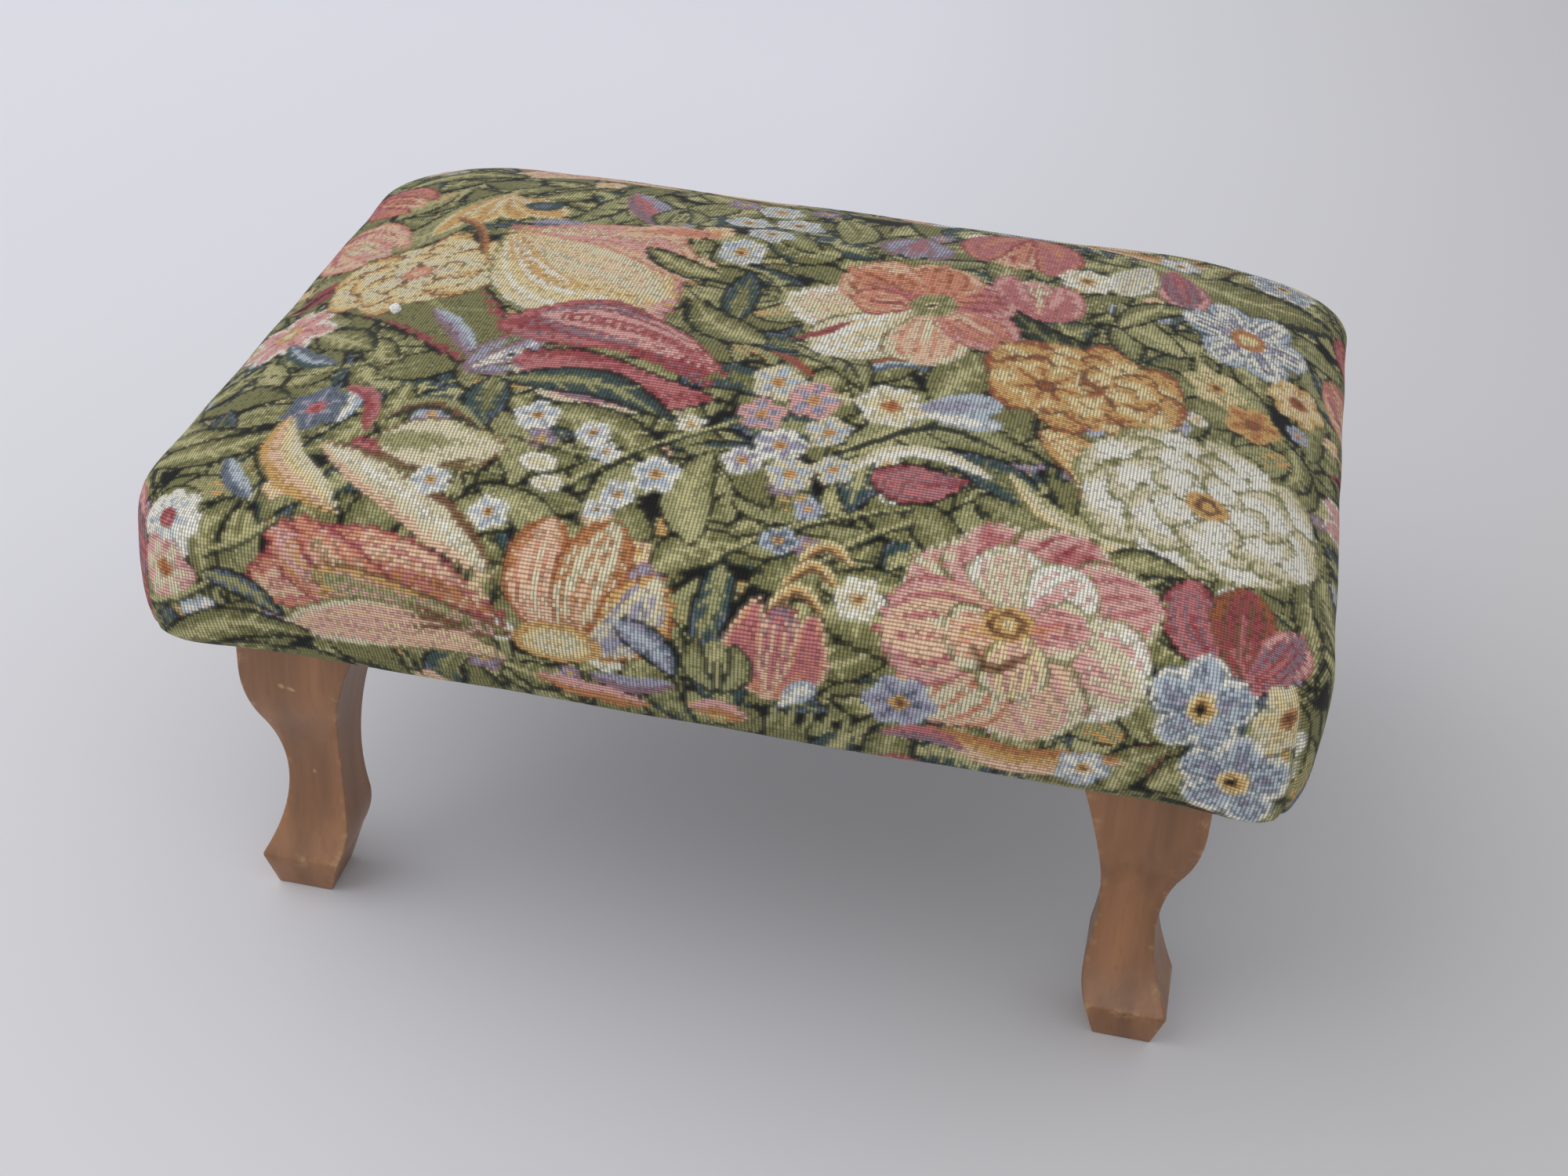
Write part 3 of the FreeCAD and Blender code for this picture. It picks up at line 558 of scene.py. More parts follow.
def weave_front_right(loom):
    """Large pink rose, crimson petals, white peony and a sweep of leaf at the near right."""
    for place, radius in [((5, -54), 9), ((18, -60), 9), ((3, -70), 8), ((12, -84), 9), ((26, -74), 8),
                          ((2, -94), 7), ((18, -97), 8), ((31, -92), 7)]:
        yarns = [("white", "cream"), ("white", "lilac"), ("cream", "light blue"), ("pink", "lilac")]
        chosen = yarns[int(radius + place[0]) % len(yarns)]
        loom.flower(place, radius, chosen, ("gold", "orange"), petals=5, turn=radius)
    loom.leaf((30, -84), (96, -70), 22, ("olive", "sage", "light olive"), bend=0.22,
              vein="dark green")
    loom.flower((43, -57), 12, ("white", "cream", "yellow"), ("orange", "rust"), squash=0.8)
    loom.petal((50, -56), (78, -42), 12, ("light blue", "lilac"))
    loom.petal((52, -58), (80, -54), 9, ("light blue", "white"))
    loom.ribbon([(35, -92), (45, -80), (62, -76), (82, -84)], 6, ("white", "cream"))
    loom.petal((76, -86), (42, -92), 20, ("crimson", "rose", "crimson"), bend=0.1, streak="mauve")
    loom.petal((112, -90), (92, -50), 20, ("gold", "yellow", "peach"), bend=-0.2, streak="orange")
    loom.ribbon([(84, -78), (104, -98), (146, -104)], 11, ("olive", "yellow", "cream", "light olive"))
    loom.peony((152, -66), 46, ("sage", "cream", "white", "white", "cream"),
               ("gold", "brown", "gold"), 0.82)
    loom.stem([(130, -120), (144, -108), (158, -103)])
    loom.leaf((118, -112), (150, -106), 13)
    loom.petal((168, -150), (150, -106), 24, ("crimson", "rose", "crimson"), bend=0.15,
               streak="mauve")
    loom.petal((168, -150), (170, -102), 26, ("rust", "crimson", "rose"), streak="brown")
    loom.petal((168, -150), (192, -114), 24, ("pink", "mauve", "rose"), bend=-0.15, streak="crimson")
    loom.leaf((36, -148), (76, -160), 18)
    loom.leaf((138, -200), (152, -172), 17, ("brown", "olive", "sage"))
    loom.ribbon([(74, -184), (108, -192), (140, -184)], 13, ("peach", "gold", "orange"))
    loom.flower((128, -191), 9, ("light blue", "white"), petals=5)
    loom.petal((97, -140), (62, -122), 40, BLUSH, streak="coral")
    loom.petal((97, -140), (82, -104), 38, ("cream", "pink", "rose", "pink"), streak="rose")
    loom.petal((97, -140), (116, -102), 40, ("cream", "pink", "rose", "pink"), streak="crimson")
    loom.petal((97, -140), (141, -122), 40, ("cream", "pink", "pink", "rose"), streak="rose")
    loom.petal((97, -140), (140, -158), 38, ("white", "cream", "pink"), streak="pink")
    loom.petal((97, -140), (110, -182), 40, ("cream", "peach", "cream"), streak="pink")
    loom.petal((97, -140), (72, -178), 38, ("peach", "cream", "peach"), streak="coral")
    loom.petal((97, -140), (56, -150), 36, ("pink", "peach", "cream"), streak="rose")
    loom.petal((96, -140), (88, -112), 26, IVORY, streak="pink")
    loom.petal((98, -140), (116, -118), 26, ("white", "white", "pink"), streak="pink")
    loom.petal((98, -142), (120, -140), 22, ("cream", "pink", "coral"), streak="rose")
    loom.petal((95, -142), (76, -150), 22, ("cream", "peach", "gold"), streak="coral")
    loom.petal((97, -142), (100, -164), 24, ("cream", "yellow", "peach"), streak="pink")
    loom.spot((94, -142), 8, 6, ("gold", "brown", "gold", "yellow"))
    loom.ribbon([(84, -150), (92, -155), (104, -150)], 3, ("brown",))
    loom.stem([(-2, -140), (14, -126), (30, -115), (60, -103)])
    loom.stem([(34, -132), (46, -118), (60, -109)], 3)
    for number in range(4):
        level = -160 + number * 9
        loom.ribbon([(18 + number * 3, level), (26 + number * 3, level + 9), (36 + number * 3, level + 2)],
                    4.5, ("brown", "gold", "yellow"))
    loom.flower((48, -142), 8, ("white", "cream"), petals=6)
    loom.flower((20, -125), 6, ("light blue", "slate"), petals=5)
    loom.tulip((24, -184), (27, -148), 24, ("coral", "rose", "coral"), ("mauve", "rose"), "peach")
    loom.petal((28, -186), (38, -172), 9, ("light blue", "white"))
    loom.tulip((8, -186), (7, -160), 17, ("olive", "sage"), ("sage", "light olive"), "dark green")
    for number in range(6):
        loom.ribbon([(24 + number * 6, -198), (28 + number * 6, -184)], 2.2, ("sage",))
    loom.flower((66, -174), 12, ("light blue", "lilac", "slate"), petals=6)
    loom.ribbon([(62, -190), (76, -187), (90, -192)], 7, ("mauve", "rose"))
    loom.ribbon([(-2, -194), (8, -192), (18, -196)], 7, ("orange", "pink"))
    for place, radius in [((158, -156), 17), ((173, -181), 18)]:
        loom.flower(place, radius, ("white", "light blue", "lilac"), ("yellow", "gold", "black"),
                    petals=5, turn=0.3, streak="slate")
    loom.flower((187, -158), 13, ("cream", "yellow"), ("orange", "brown"), petals=6)


def weave_back_left(loom):
    """Striped yellow tulip, crimson tulip, gold peony and broad leaves on the far left."""
    loom.leaf((-132, 82), (-182, 26), 26, ("olive", "sage", "olive"))
    loom.leaf((-76, 88), (-98, 44), 24, PALE_GREEN, vein="dark green")
    loom.leaf((-196, 14), (-84, -68), 42, ("crimson", "olive", "olive", "sage"), bend=0.1,
              vein="sage")
    loom.flower((-184, -32), 21, ("white", "pink", "rose"), ("gold", "cream"), petals=7,
                streak="pink")
    loom.petal((-202, -6), (-174, 6), 14, ("crimson", "crimson", "black"))
    loom.ribbon([(-178, -42), (-166, -54), (-148, -62)], 9, ("teal", "light blue", "slate"))
    loom.tulip((-206, 58), (-166, 26), 26, ("pink", "peach", "rose"), BLUSH, "coral")
    loom.tulip((-204, 98), (-168, 74), 20, ("coral", "rose"), ("peach", "coral"), "crimson")
    for turn in range(4):
        loom.petal((-128, 84 - turn * 3), (-152 + turn * 17, 42 + turn * 4), 16,
                   ("yellow", "gold", "cream"))
    loom.spot((-112, 65), 8, 5, ("teal", "slate"))
    loom.peony((-144, 6), 36, ("gold", "yellow", "cream", "peach"), ("coral", "peach"), 0.72)
    loom.ribbon([(-112, 48), (-98, 47), (-84, 42)], 10, ("slate", "lilac"))
    loom.ribbon([(-146, 56), (-131, 42), (-121, 18)], 4, ("brown", "orange"), ends=(0.1, 0.1))
    loom.petal((-122, 46), (-44, -30), 34, ("pink", "peach", "coral"), bend=0.16, streak="rose")
    loom.petal((-120, 44), (-50, -22), 42, ("cream", "yellow", "gold"), bend=-0.12, streak="white")
    loom.petal((-118, 43), (-42, -14), 32, ("yellow", "cream", "yellow"), bend=0.02, streak="peach")
    loom.petal((-118, 43), (-38, 4), 26, ("peach", "pink", "cream"), bend=0.16, streak="coral")
    loom.ribbon([(-126, -24), (-112, -38), (-98, -58)], 8, ("mauve", "lilac", "light blue"))
    loom.tulip((-100, -66), (-78, -44), 15, ("olive", "lilac"), ("lilac", "white"), "mauve")
    loom.petal((-14, -62), (-98, -32), 30, ("rose", "crimson", "crimson"), bend=-0.14, streak="mauve")
    loom.petal((-10, -56), (-86, -26), 24, ("mauve", "pink", "rose"), bend=-0.06, streak="crimson")
    loom.petal((-8, -66), (-86, -54), 30, ("crimson", "rose", "crimson"), bend=0.1, streak="rose")
    loom.ribbon([(-88, -56), (-62, -75), (-18, -76)], 7, ("cream", "pink", "mauve"))
    loom.ribbon([(-82, 88), (-68, 66), (-50, 44)], 16, ("mauve", "rose", "lilac"))
    loom.tulip((-58, 76), (-56, 50), 15, ("olive", "sage"), ("sage", "light olive"), "dark green")
    loom.petal((-34, 40), (-76, 42), 15, ("peach", "coral"))
    for place in [(-27, 32), (-20, 50), (-32, 66), (-14, 72), (-24, 88)]:
        loom.flower(place, 9, ("white", "light blue", "cream"), petals=6, turn=place[1])
    loom.leaf((-30, 12), (-60, 24), 14)
    loom.stem([(-30, 24), (-14, 18), (-6, 4), (-14, -4)])
    loom.leaf((-4, -30), (-36, -6), 19, ("dark green", "olive", "sage"))


def weave_back_right(loom):
    """Coral poppy, rust peony and small blue flowers on the far right."""
    loom.leaf((58, 88), (14, 44), 24, ("dark green", "olive", "olive"))
    loom.tulip((32, 80), (32, 44), 18, ("mauve", "lilac"), ("lilac", "rose"), "mauve")
    loom.leaf((0, 90), (8, 52), 18, PALE_GREEN, vein="olive")
    loom.leaf((110, 100), (200, 96), 34, ("dark green", "olive", "sage"), bend=-0.1)
    loom.tulip((70, 104), (68, 60), 34, ("coral", "rose", "coral"), ("peach", "coral"), "crimson")
    loom.petal((126, 100), (134, 58), 24, ("pink", "mauve", "rose"), streak="crimson")
    loom.petal((118, 96), (108, 56), 20, IVORY, streak="light blue")
    loom.flower((95, 62), 11, ("white", "cream"), petals=8)
    loom.leaf((136, 22), (108, 50), 17, PALE_GREEN)
    loom.leaf((110, 30), (138, 60), 13)
    loom.leaf((112, 4), (66, 22), 17, ("black", "dark green", "teal"), vein="olive")
    loom.ribbon([(28, -48), (38, -32), (62, -32)], 9, ("slate", "light blue", "rust"))
    loom.leaf((56, -52), (80, -14), 22, ("olive", "olive", "sage"))
    loom.leaf((4, -26), (34, -52), 17, PALE_GREEN, vein="dark green")
    loom.flower((160, 54), 27, ("light blue", "white", "lilac"), ("orange", "yellow"), petals=6,
                streak="slate")
    loom.tulip((82, 18), (78, 52), 26, ("pink", "rose"), BLUSH, "rose")
    loom.petal((45, 10), (-6, 4), 34, ("white", "cream", "yellow"), bend=0.08, streak="peach")
    loom.petal((45, 10), (12, -32), 34, ("cream", "white", "cream"), streak="yellow")
    loom.petal((45, 10), (48, -32), 32, ("cream", "peach", "cream"), streak="coral")
    loom.petal((45, 10), (76, -8), 30, ("pink", "coral", "peach"), streak="rose")
    loom.petal((45, 12), (72, 26), 28, ("pink", "rose", "coral"), streak="crimson")
    loom.petal((45, 10), (44, 42), 32, ("peach", "coral", "coral"), streak="rust")
    loom.petal((45, 10), (12, 32), 32, ("peach", "coral", "rose"), streak="rust")
    loom.petal((42, 10), (16, 12), 20, ("coral", "coral", "crimson"), streak="peach")
    loom.flower((45, 11), 9, ("sage", "olive"), ("yellow", "dark green"), petals=6)
    loom.ribbon([(2, -24), (12, -16), (20, -4)], 3.5, ("crimson",))
    loom.ribbon([(-2, -36), (8, -42), (16, -50)], 3.5, ("crimson", "rust"))
    loom.peony((104, -18), 36, ("rust", "gold", "yellow", "orange"), ("rust", "brown", "gold"), 0.72)
    loom.flower((90, -24), 15, ("yellow", "gold", "rust"), ("brown", "rust"), petals=7)
    loom.flower((150, 10), 13, ("light olive", "yellow", "sage"), petals=6)
    loom.flower((166, -4), 12, ("gold", "orange"), ("brown", "rust"), petals=5)
    loom.flower((184, 24), 14, ("gold", "yellow", "peach"), ("rust", "brown"), petals=6)


GROUND_LEAF_PITCH = 11
GROUND_LEAF_DRIFT = 5
GROUND_LEAF_LENGTH = (24, 40)
GROUND_LEAF_WIDTH = (13, 20)
GROUND_LEAF_BEND = 0.15
GROUND_FLOWERS = 70
GROUND_FLOWER_RADIUS = (4, 7)


def weave_ground(loom):
    """Overlapping leaves between the flowers, so that little of the black ground shows."""
    mixes = [("dark green", "olive", "sage"), ("olive", "olive", "sage"), ("olive", "sage", "light olive"),
             ("teal", "olive", "sage"), ("dark green", "olive", "light olive"), ("olive", "sage", "gold"),
             ("dark green", "olive", "olive"), ("slate", "teal", "sage")]
    width = REPEAT_COLUMNS * THREAD_MM
    height = REPEAT_ROWS * THREAD_MM
    columns = int(width / GROUND_LEAF_PITCH)
    rows = int(height / GROUND_LEAF_PITCH)
    for number in loom.random.permutation(columns * rows):
        place = np.array([number % columns / columns * width, number // columns / rows * height])
        place += loom.random.normal(0, GROUND_LEAF_DRIFT, 2)
        angle = loom.random.random() * math.tau
        reach = loom.random.uniform(*GROUND_LEAF_LENGTH) * np.array([math.cos(angle), math.sin(angle)])
        mix = mixes[loom.random.integers(len(mixes))]
        vein = ("sage", "olive", "light olive")[loom.random.integers(3)]
        loom.leaf(place, place + reach, loom.random.uniform(*GROUND_LEAF_WIDTH), mix,
                  loom.random.normal(0, GROUND_LEAF_BEND), vein)
    for _ in range(GROUND_FLOWERS):
        place = loom.random.random(2) * (width, height)
        yarns = [("white", "cream"), ("light blue", "lilac"), ("mauve", "lilac"), ("peach", "yellow")]
        chosen = yarns[loom.random.integers(len(yarns))]
        radius = loom.random.uniform(*GROUND_FLOWER_RADIUS)
        loom.flower(place, radius, chosen, ("gold",), petals=5, turn=place[0])


def woven_picture():
    """The yarn number on top at every crossing of one repeat."""
    loom = Loom()
    weave_ground(loom)
    weave_back_left(loom)
    weave_back_right(loom)
    weave_front_left(loom)
    weave_front_right(loom)
    return loom.picture


def note_cut_places(cover):
    """Keeps each vertex's place on the boxed cloth, for the seams and the hem."""
    places = cover.data.attributes.new("cut_place", "FLOAT_VECTOR", "POINT")
    places.data.foreach_set("vector", coordinates(cover).ravel())


def cut_places(cover):
    places = np.zeros(len(cover.data.vertices) * 3)
    cover.data.attributes["cut_place"].data.foreach_get("vector", places)
    return places.reshape(-1, 3)


CLOTH_FRAMES = 14
CLOTH_GIVE = 2.5 * MM
CLOTH_GROWTH = 0.03


def pull_tight(cover, drop):
    """Lets the stapled cloth fill out under the pressure of the wadding."""
    start = coordinates(cover)
    hem = np.nonzero(drop > HEM_START)[0]
    stapled = cover.vertex_groups.new(name="stapled_hem")
    stapled.add([int(number) for number in hem], 1, "REPLACE")
    cloth = cover.modifiers.new("cloth", "CLOTH")
    cloth.settings.quality = 6
    cloth.settings.mass = 0.2
    cloth.settings.tension_stiffness = 40
    cloth.settings.compression_stiffness = 30
    cloth.settings.shear_stiffness = 15
    cloth.settings.bending_stiffness = 1
    cloth.settings.shrink_min = -CLOTH_GROWTH
    cloth.settings.use_pressure = True
    cloth.settings.uniform_pressure_force = 4
    cloth.settings.effector_weights.gravity = 0
    cloth.settings.vertex_group_mass = "stapled_hem"
    cloth.collision_settings.use_collision = False
    scene = bpy.context.scene
    for moment in range(1, CLOTH_FRAMES + 1):
        scene.frame_set(moment)
    drawn = cover.evaluated_get(bpy.context.evaluated_depsgraph_get()).data
    ends = np.zeros(len(drawn.vertices) * 3)
    drawn.vertices.foreach_get("co", ends)
    move = ends.reshape(-1, 3) - start
    length = np.linalg.norm(move, axis=1, keepdims=True)
    cover.modifiers.remove(cloth)
    scene.frame_set(1)
    move_vertices(cover, start + move * CLOTH_GIVE / (CLOTH_GIVE + length))


SUBDIVISIONS = 2
CORNER_BULK = 3.5 * MM
CORNER_SAG = 2.2 * MM
MIDDLE_RISE = 3.0 * MM
SEAM_DEPTH = 0.9 * MM
PUCKER = 0.5 * MM
WADDING_LUMP = 0.4 * MM

# Shares of the height of the sides
OUTSIDE_LIMIT = 1.04
BULK_START = 0.35
BULK_SPAN = 0.55
TURN_END = 1.02
TURN_SPAN = 0.12
SEAM_END = 1.6

# Millimetres along the cloth
CORNER_REACH = 30
SEAM_REACH = 1.6
PUCKER_REACH = 70
PUCKER_PITCH = 9
PUCKER_DRIFT = 31
LUMP_PITCH = (17, 15, 19)
LUMP_DRIFT = (29, 37)


def keep_outside(cover, lift):
    """Brings any vertex of the top and sides that lies too deep back out over the CAD surface."""
    tree = surface_tree("tapestry_cover")
    places = coordinates(cover)
    cut = cut_places(cover)
    for number in np.nonzero(-cut[:, 2] < (WALL_ROWS - 1) * CELL)[0]:
        place = Vector(places[number])
        nearest, normal, _, _ = tree.find_nearest(place)
        if (place - nearest).dot(normal) < lift:
            places[number] = nearest + normal * lift
    move_vertices(cover, places)


COVER_LIFT = 0.35 * MM


def shape_hem_and_corners(cover):
    """Full corners that hang a little, a hem that rises between them, dart seams and puckers."""
    places = coordinates(cover)
    cut = cut_places(cover)
    drop = np.clip(-cut[:, 2] / WALL_DROP, 0, 2)
    outside = drop < OUTSIDE_LIMIT
    low = np.clip((drop - BULK_START) / BULK_SPAN, 0, 1) * outside
    low = low * low * (3 - 2 * low) * np.clip((TURN_END - drop) / TURN_SPAN, 0, 1)
    from_end = (CLOTH_HALF_U - np.abs(cut[:, 0])) / MM
    from_side = (CLOTH_HALF_V - np.abs(cut[:, 1])) / MM
    from_corner = np.maximum(from_end, from_side)
    corner = np.exp(-(from_corner / CORNER_REACH) ** 2)
    outwards = np.stack([np.sign(places[:, 0]), np.sign(places[:, 1])], 1) / math.sqrt(2)
    places[:, :2] += outwards * (CORNER_BULK * corner * low)[:, None]
    places[:, 2] += low * (MIDDLE_RISE * (1 - corner) - CORNER_SAG * corner)
    seam = np.exp(-(from_corner / SEAM_REACH) ** 2) * np.clip(drop * 3 - 0.2, 0, 1) * (drop < SEAM_END)
    places[:, :2] -= outwards * (SEAM_DEPTH * seam)[:, None]
    around = np.where(from_end < from_side, cut[:, 1], cut[:, 0]) / MM
    waviness = np.sin(around / PUCKER_PITCH + 1.3 * np.sin(around / PUCKER_DRIFT))
    gather = waviness * low * np.exp(-(from_corner / PUCKER_REACH) ** 2)
    normals = np.zeros(len(places) * 3)
    cover.data.vertices.foreach_get("normal", normals)
    normals = normals.reshape(-1, 3)
    x = places[:, 0] / MM
    y = places[:, 1] / MM
    z = places[:, 2] / MM
    lumps = (np.sin(x / LUMP_PITCH[0] + 2 * np.sin(y / LUMP_DRIFT[0]))
             * np.sin(y / LUMP_PITCH[1] + 1.4 * np.sin(x / LUMP_DRIFT[1]))
             * np.cos(z / LUMP_PITCH[2]))
    places += normals * ((PUCKER * gather + WADDING_LUMP * lumps) * outside)[:, None]
    move_vertices(cover, places)


def close_underside(cover):
    """A face over the opening, above the dust cover."""
    make_active(cover)
    bpy.ops.object.mode_set(mode="EDIT")
    bpy.ops.mesh.select_mode(type="EDGE")
    bpy.ops.mesh.select_all(action="DESELECT")
    bpy.ops.mesh.select_non_manifold()
    bpy.ops.mesh.edge_face_add()
    bpy.ops.mesh.select_all(action="SELECT")
    bpy.ops.mesh.normals_make_consistent(inside=False)
    bpy.ops.object.mode_set(mode="OBJECT")


def linear(colour):
    """A screen colour from 0 to 255 as light."""
    share = np.array(colour, float) / 255
    return np.where(share <= 0.04045, share / 12.92, ((share + 0.055) / 1.055) ** 2.4)


def weave_cover(cover):
    """Gives every face, one thread wide, the yarn that the pattern has there."""
    mesh = cover.data
    flat = np.zeros(len(mesh.loops) * 2)
    mesh.uv_layers["OFBake"].data.foreach_get("uv", flat)
    flat = (flat.reshape(-1, 2) - 0.5) * CLOTH_EXTENT / MM
    counts = np.zeros(len(mesh.polygons), int)
    mesh.polygons.foreach_get("loop_total", counts)
    face_of = np.repeat(np.arange(len(counts)), counts)
    u = np.bincount(face_of, flat[:, 0]) / counts
    v = np.bincount(face_of, flat[:, 1]) / counts
    columns = np.floor(u / THREAD_MM).astype(int) % REPEAT_COLUMNS
    rows = np.floor(v / THREAD_MM).astype(int) % REPEAT_ROWS
    numbers = woven_picture()[rows, columns]
    # Painted shade: the face over the opening, inside the stool above the dust cover, is woven black.
    numbers[counts > 4] = YARN_NUMBER["black"]
    palette = np.array([[*linear(colour), 1.0] for colour, _ in YARNS.values()])
    floats = np.array([float(across) for _, across in YARNS.values()])
    layer = mesh.attributes.new("yarn", "FLOAT_COLOR", "FACE")
    layer.data.foreach_set("color", palette[numbers].ravel())
    corner_vertex = np.zeros(len(mesh.loops), int)
    mesh.loops.foreach_get("vertex_index", corner_vertex)
    around = np.bincount(corner_vertex, minlength=len(mesh.vertices))
    soft = np.ones((len(mesh.vertices), 4))
    for channel in range(3):
        total = np.bincount(corner_vertex, palette[numbers][face_of, channel], len(mesh.vertices))
        soft[:, channel] = total / around
    layer = mesh.attributes.new("yarn_blend", "FLOAT_COLOR", "POINT")
    layer.data.foreach_set("color", soft.ravel())
    layer = mesh.attributes.new("floats", "FLOAT", "FACE")
    layer.data.foreach_set("value", floats[numbers])


cover = boxed_cloth()
lay_out_threads(cover)
note_cut_places(cover)
cover_drop = drape_over_form(cover)
pull_tight(cover, cover_drop)
make_active(cover)
finer = cover.modifiers.new("finer", "SUBSURF")
finer.levels = SUBDIVISIONS
finer.render_levels = SUBDIVISIONS
bpy.ops.object.modifier_apply(modifier="finer")
keep_outside(cover, COVER_LIFT)
shape_hem_and_corners(cover)
close_underside(cover)
weave_cover(cover)
make_active(cover)
bpy.ops.object.shade_smooth()

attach(cover, "root")
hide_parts("tapestry_cover")


# Legs, sawn on two faces from square blanks
# The depths run inwards from the outer faces of the blank.

LEG_TOP = 125 * MM
LEG_BLANK = 48 * MM
KNEE_LEVEL = 103 * MM
ANKLE_LEVEL = 50 * MM
ANKLE_DEPTH = 11 * MM
ANKLE_RADIUS = 70 * MM
TOE_LEVEL = 15.5 * MM
SOLE_SETBACK = 6 * MM
SOLE_WIDTH = 21 * MM
WAIST_DEPTH = 32 * MM
WAIST_LEVEL = 55 * MM
HEEL_LEVEL = 28 * MM
HEEL_RADIUS = 30 * MM
LEG_STEP = 2.5 * MM
LEG_STRIPS = 8
ARRIS_ROUND = 0.7 * MM
ARRIS_ANGLE = 25
SHARP_ANGLE = 22
SOLE_SHARES = (0.33, 0.66, 1)
WORN_FROM = 0.72
TOE_WEAR = 1.2 * MM

knee_both = ((KNEE_LEVEL - ANKLE_LEVEL) ** 2 + ANKLE_DEPTH ** 2) / (ANKLE_DEPTH * 2)
KNEE_RADIUS = knee_both - ANKLE_RADIUS
TURN_LEVEL = KNEE_LEVEL - KNEE_RADIUS * (KNEE_LEVEL - ANKLE_LEVEL) / knee_both
SHIN_RISE = LEG_TOP - WAIST_LEVEL
SHIN_FLARE = LEG_BLANK - WAIST_DEPTH
SHIN_RADIUS = (SHIN_RISE ** 2 + SHIN_FLARE ** 2) / (SHIN_FLARE * 2)
HEEL_FALL = WAIST_LEVEL - HEEL_LEVEL
HEEL_CENTRE = WAIST_DEPTH + SHIN_RADIUS - math.sqrt((SHIN_RADIUS + HEEL_RADIUS) ** 2 - HEEL_FALL ** 2)
MEET_LEVEL = WAIST_LEVEL - SHIN_RADIUS * HEEL_FALL / (SHIN_RADIUS + HEEL_RADIUS)


def arc_depth(centre, radius, off_level, side):
    return centre + side * math.sqrt(radius ** 2 - off_level ** 2)


def outer_line(level):
    """Knee, hollow ankle, sharp toe and tapered sole."""
    if level >= KNEE_LEVEL:
        return 0.0
    if level >= TURN_LEVEL:
        return arc_depth(KNEE_RADIUS, KNEE_RADIUS, KNEE_LEVEL - level, -1)
    if level >= TOE_LEVEL:
        return arc_depth(ANKLE_DEPTH - ANKLE_RADIUS, ANKLE_RADIUS, level - ANKLE_LEVEL, 1)
    share = level / TOE_LEVEL
    return SOLE_SETBACK * (1 - share) + outer_line(TOE_LEVEL) * share


def inner_line(level):
    """Hollow shin, round heel and tapered sole."""
    if level >= MEET_LEVEL:
        return arc_depth(WAIST_DEPTH + SHIN_RADIUS, SHIN_RADIUS, level - WAIST_LEVEL, -1)
    if level >= TOE_LEVEL:
        return arc_depth(HEEL_CENTRE, HEEL_RADIUS, level - HEEL_LEVEL, 1)
    share = level / TOE_LEVEL
    return (SOLE_SETBACK + SOLE_WIDTH) * (1 - share) + inner_line(TOE_LEVEL) * share


def leg_section(level, face_x, face_y):
    """The middle and the width of the square that both cuts leave at a level."""
    outer = outer_line(level)
    inner = inner_line(level)
    into = (outer + inner) / 2
    return face_x - math.copysign(into, face_x), face_y - math.copysign(into, face_y), inner - outer


def sawn_leg(name, face_x, face_y):
    """Stacks the sections, rounds the arrises and marks where they wear."""
    below = [TOE_LEVEL * share for share in SOLE_SHARES]
    rest = int((LEG_TOP - TOE_LEVEL) / LEG_STEP)
    above = [TOE_LEVEL + (LEG_TOP - TOE_LEVEL) * number / rest for number in range(1, rest + 1)]
    x, y, width = leg_section(0, face_x, face_y)
    deselect_all()
    bpy.ops.mesh.primitive_grid_add(x_subdivisions=LEG_STRIPS, y_subdivisions=LEG_STRIPS, size=width,
                                    location=(x, y, 0))
    leg = bpy.context.object
    leg.name = name
    bpy.ops.object.transform_apply(location=True, rotation=False, scale=False)
    bpy.ops.object.mode_set(mode="EDIT")
    bpy.ops.mesh.select_mode(type="FACE")
    bpy.ops.mesh.select_all(action="SELECT")
    level = 0
    for higher in below + above:
        next_x, next_y, next_width = leg_section(higher, face_x, face_y)
        step = (next_x - x, next_y - y, higher - level)
        bpy.ops.mesh.extrude_region_move(TRANSFORM_OT_translate={"value": step})
        growth = next_width / width
        bpy.ops.transform.resize(value=(growth, growth, 1), center_override=(next_x, next_y, higher))
        x, y, width, level = next_x, next_y, next_width, higher
    bpy.ops.mesh.select_all(action="SELECT")
    bpy.ops.mesh.normals_make_consistent(inside=False)
    bpy.ops.object.mode_set(mode="OBJECT")
    rounding = leg.modifiers.new("arrises", "BEVEL")
    rounding.width = ARRIS_ROUND
    rounding.segments = 2
    rounding.limit_method = "ANGLE"
    rounding.angle_limit = math.radians(ARRIS_ANGLE)
    bpy.ops.object.modifier_apply(modifier="arrises")
    bpy.ops.object.shade_smooth_by_angle(angle=math.radians(SHARP_ANGLE))
    wear = leg.data.attributes.new("arris", "FLOAT", "POINT")
    for number, place in enumerate(coordinates(leg)):
        x, y, width = leg_section(min(max(place[2], 0), LEG_TOP), face_x, face_y)
        nearer = min(abs(place[0] - x), abs(place[1] - y)) / (width / 2)
        edge = min(max((nearer - WORN_FROM) / (1 - WORN_FROM), 0), 1) ** 2
        toe = math.exp(-((place[2] - TOE_LEVEL) / TOE_WEAR) ** 2)
        wear.data[number].value = max(edge, toe)
    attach(leg, "root")
    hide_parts(name.replace("sawn_", ""))
    return leg


leg_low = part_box("leg_front_left")[0]
KNEE_X = -leg_low.x
KNEE_Y = -leg_low.y
legs = [
    sawn_leg("sawn_leg_front_left", -KNEE_X, -KNEE_Y),
    sawn_leg("sawn_leg_front_right", KNEE_X, -KNEE_Y),
    sawn_leg("sawn_leg_back_left", -KNEE_X, KNEE_Y),
    sawn_leg("sawn_leg_back_right", KNEE_X, KNEE_Y),
]


# Dust cover and its staples

